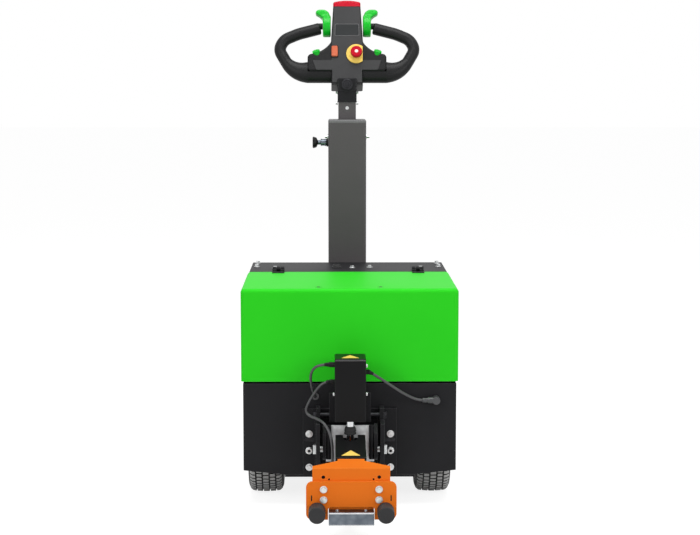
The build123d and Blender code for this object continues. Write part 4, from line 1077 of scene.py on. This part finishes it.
# %% [markdown]
# The deck has a round rubber grommet, the hood two rubber bumpers, and the hinge leaves flat-headed
# screws. What is on the hood moves with the hood.

# %% Deck grommet, hood bumpers and hinge screws
deck_ring = ((0, 5), (0, 13), (3, 13), (4, 11.6), (8, 10.8), (9.5, 9.4), (9.5, 6.4), (5, 5.4), (0, 5))
turned_piece(
    "deck_grommet", deck_ring, at(-31, -460, deck_z), UPWARD, 28, buffer_rubber, "chassis", "buffer_rubber"
)

bumper_profile = ((0, 0), (0, 4.4), (4, 4.4), (4.9, 3.6), (5.2, 0))
bumper_x = 79
bumper_reach = -38
bumper_z = deck_z - 4
bumpers = bmesh.new()
for side in SIDES:
    add_turned(bumpers, bumper_profile, at(side * bumper_x, bumper_reach, bumper_z), UPWARD, 20)
make_piece(bumpers, "hood_bumpers", buffer_rubber, "hood", "buffer_rubber")

hinge_profile = ((0, 0), (0, 4.2), (0.8, 4.0), (1.4, 2.8), (1.6, 0))
hinge_x = 190
screw_spread = 9
screw_inset = 0.011
leaf_thickness = 0.0025
leaf_top = deck_z / 1000 + leaf_thickness
hood_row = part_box("hood_hinge_leaves")[0].y + screw_inset
deck_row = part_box("deck_hinge_leaves")[1].y - screw_inset
for body, row_y in (("hood", hood_row), ("chassis", deck_row)):
    screws = bmesh.new()
    for hinge in SIDES:
        for side in SIDES:
            screw_foot = Vector(((hinge * hinge_x + side * screw_spread) / 1000, row_y, leaf_top))
            add_turned(screws, hinge_profile, screw_foot, UPWARD, 20)
    make_piece(screws, body + "_hinge_screws", black_steel, body, "black_paint")

# %% [markdown]
# The setting is a plain white studio: a pale floor that keeps the shadow, and a white world. Both show
# white to the camera, also by mirror or glass, but light the object less, so that colours render about
# as written. The Light Path node tells these rays apart.

# %% Rays that show


def shown_rays(owner):
    """1 for rays that show the setting to the camera, and 0 for rays that only carry its light."""
    rays = add_node(owner, "ShaderNodeLightPath").outputs
    direct = add_node(
        owner, "ShaderNodeMath", {0: rays["Is Camera Ray"], 1: rays["Is Glossy Ray"]}, operation="MAXIMUM"
    )
    shown = add_node(
        owner, "ShaderNodeMath", {0: direct.outputs["Value"], 1: rays["Is Transmission Ray"]},
        operation="MAXIMUM",
    )
    return shown.outputs["Value"]


# %% [markdown]
# The floor is one large square. Its shader adds a glow to a dim grey: the glow alone is nearly white, and
# the grey lets the machine's soft shadow through.

# %% Floor
floor_glow = 0.84
floor_grey = (0.32, 0.32, 0.32, 1)
white = (1, 1, 1, 1)
floor_shape = bmesh.new()
bmesh.ops.create_grid(floor_shape, x_segments=1, y_segments=1, size=30)
floor_mesh = bpy.data.meshes.new("floor")
floor_shape.to_mesh(floor_mesh)
floor_shape.free()
floor = bpy.data.objects.new("floor", floor_mesh)
bpy.context.collection.objects.link(floor)
floor_white = bpy.data.materials.new("floor_white")
floor_white.use_nodes = True
floor_surface = floor_white.node_tree.nodes["Principled BSDF"]
floor_surface.inputs["Base Color"].default_value = linear("E4E4E4")
floor_surface.inputs["Roughness"].default_value = 0.9
floor_surface.inputs["Specular IOR Level"].default_value = 0.1
glow = add_node(floor_white, "ShaderNodeEmission", {"Color": white, "Strength": floor_glow})
shaded = add_node(floor_white, "ShaderNodeBsdfDiffuse", {"Color": floor_grey})
bright = add_node(floor_white, "ShaderNodeAddShader", {0: glow.outputs[0], 1: shaded.outputs[0]})
both = add_node(
    floor_white, "ShaderNodeMixShader",
    {0: shown_rays(floor_white), 1: floor_surface.outputs["BSDF"], 2: bright.outputs[0]},
)
floor_output = floor_white.node_tree.nodes["Material Output"]
floor_white.node_tree.links.new(both.outputs[0], floor_output.inputs["Surface"])
floor_mesh.materials.append(floor_white)
print("floor ready")

# %% [markdown]
# A white world lights the machine from all round, and three round softboxes give it form: a strong one
# overhead and one on each side of the camera.

# %% World and lamps
world_light = 0.46
world_shown = 1.0
world = bpy.data.worlds.new("studio")
bpy.context.scene.world = world
world.use_nodes = True
background = world.node_tree.nodes["Background"]
background.inputs["Color"].default_value = white
world_strength = spread(world, shown_rays(world), world_light, world_shown)
world.node_tree.links.new(world_strength, background.inputs["Strength"])

# name, place, aim, size in metres and power in watts
lamp_rows = (
    ("top_softbox", (0.1, -0.4, 3.6), (0, 0, 0.6), 2.4, 76),
    ("front_left_softbox", (-2.6, -3.4, 2.4), (0, 0, 0.5), 2.0, 50),
    ("front_right_softbox", (2.8, -3.0, 1.8), (0, 0, 0.5), 1.8, 42),
)
for name, place, aim, size, power in lamp_rows:
    lamp = bpy.data.objects.new(name, bpy.data.lights.new(name, "AREA"))
    lamp.data.shape = "DISK"
    lamp.data.size = size
    lamp.data.energy = power
    lamp.location = place
    lamp.rotation_euler = (Vector(aim) - Vector(place)).to_track_quat("-Z", "Y").to_euler()
    bpy.context.collection.objects.link(lamp)
print("lamps", len(lamp_rows))
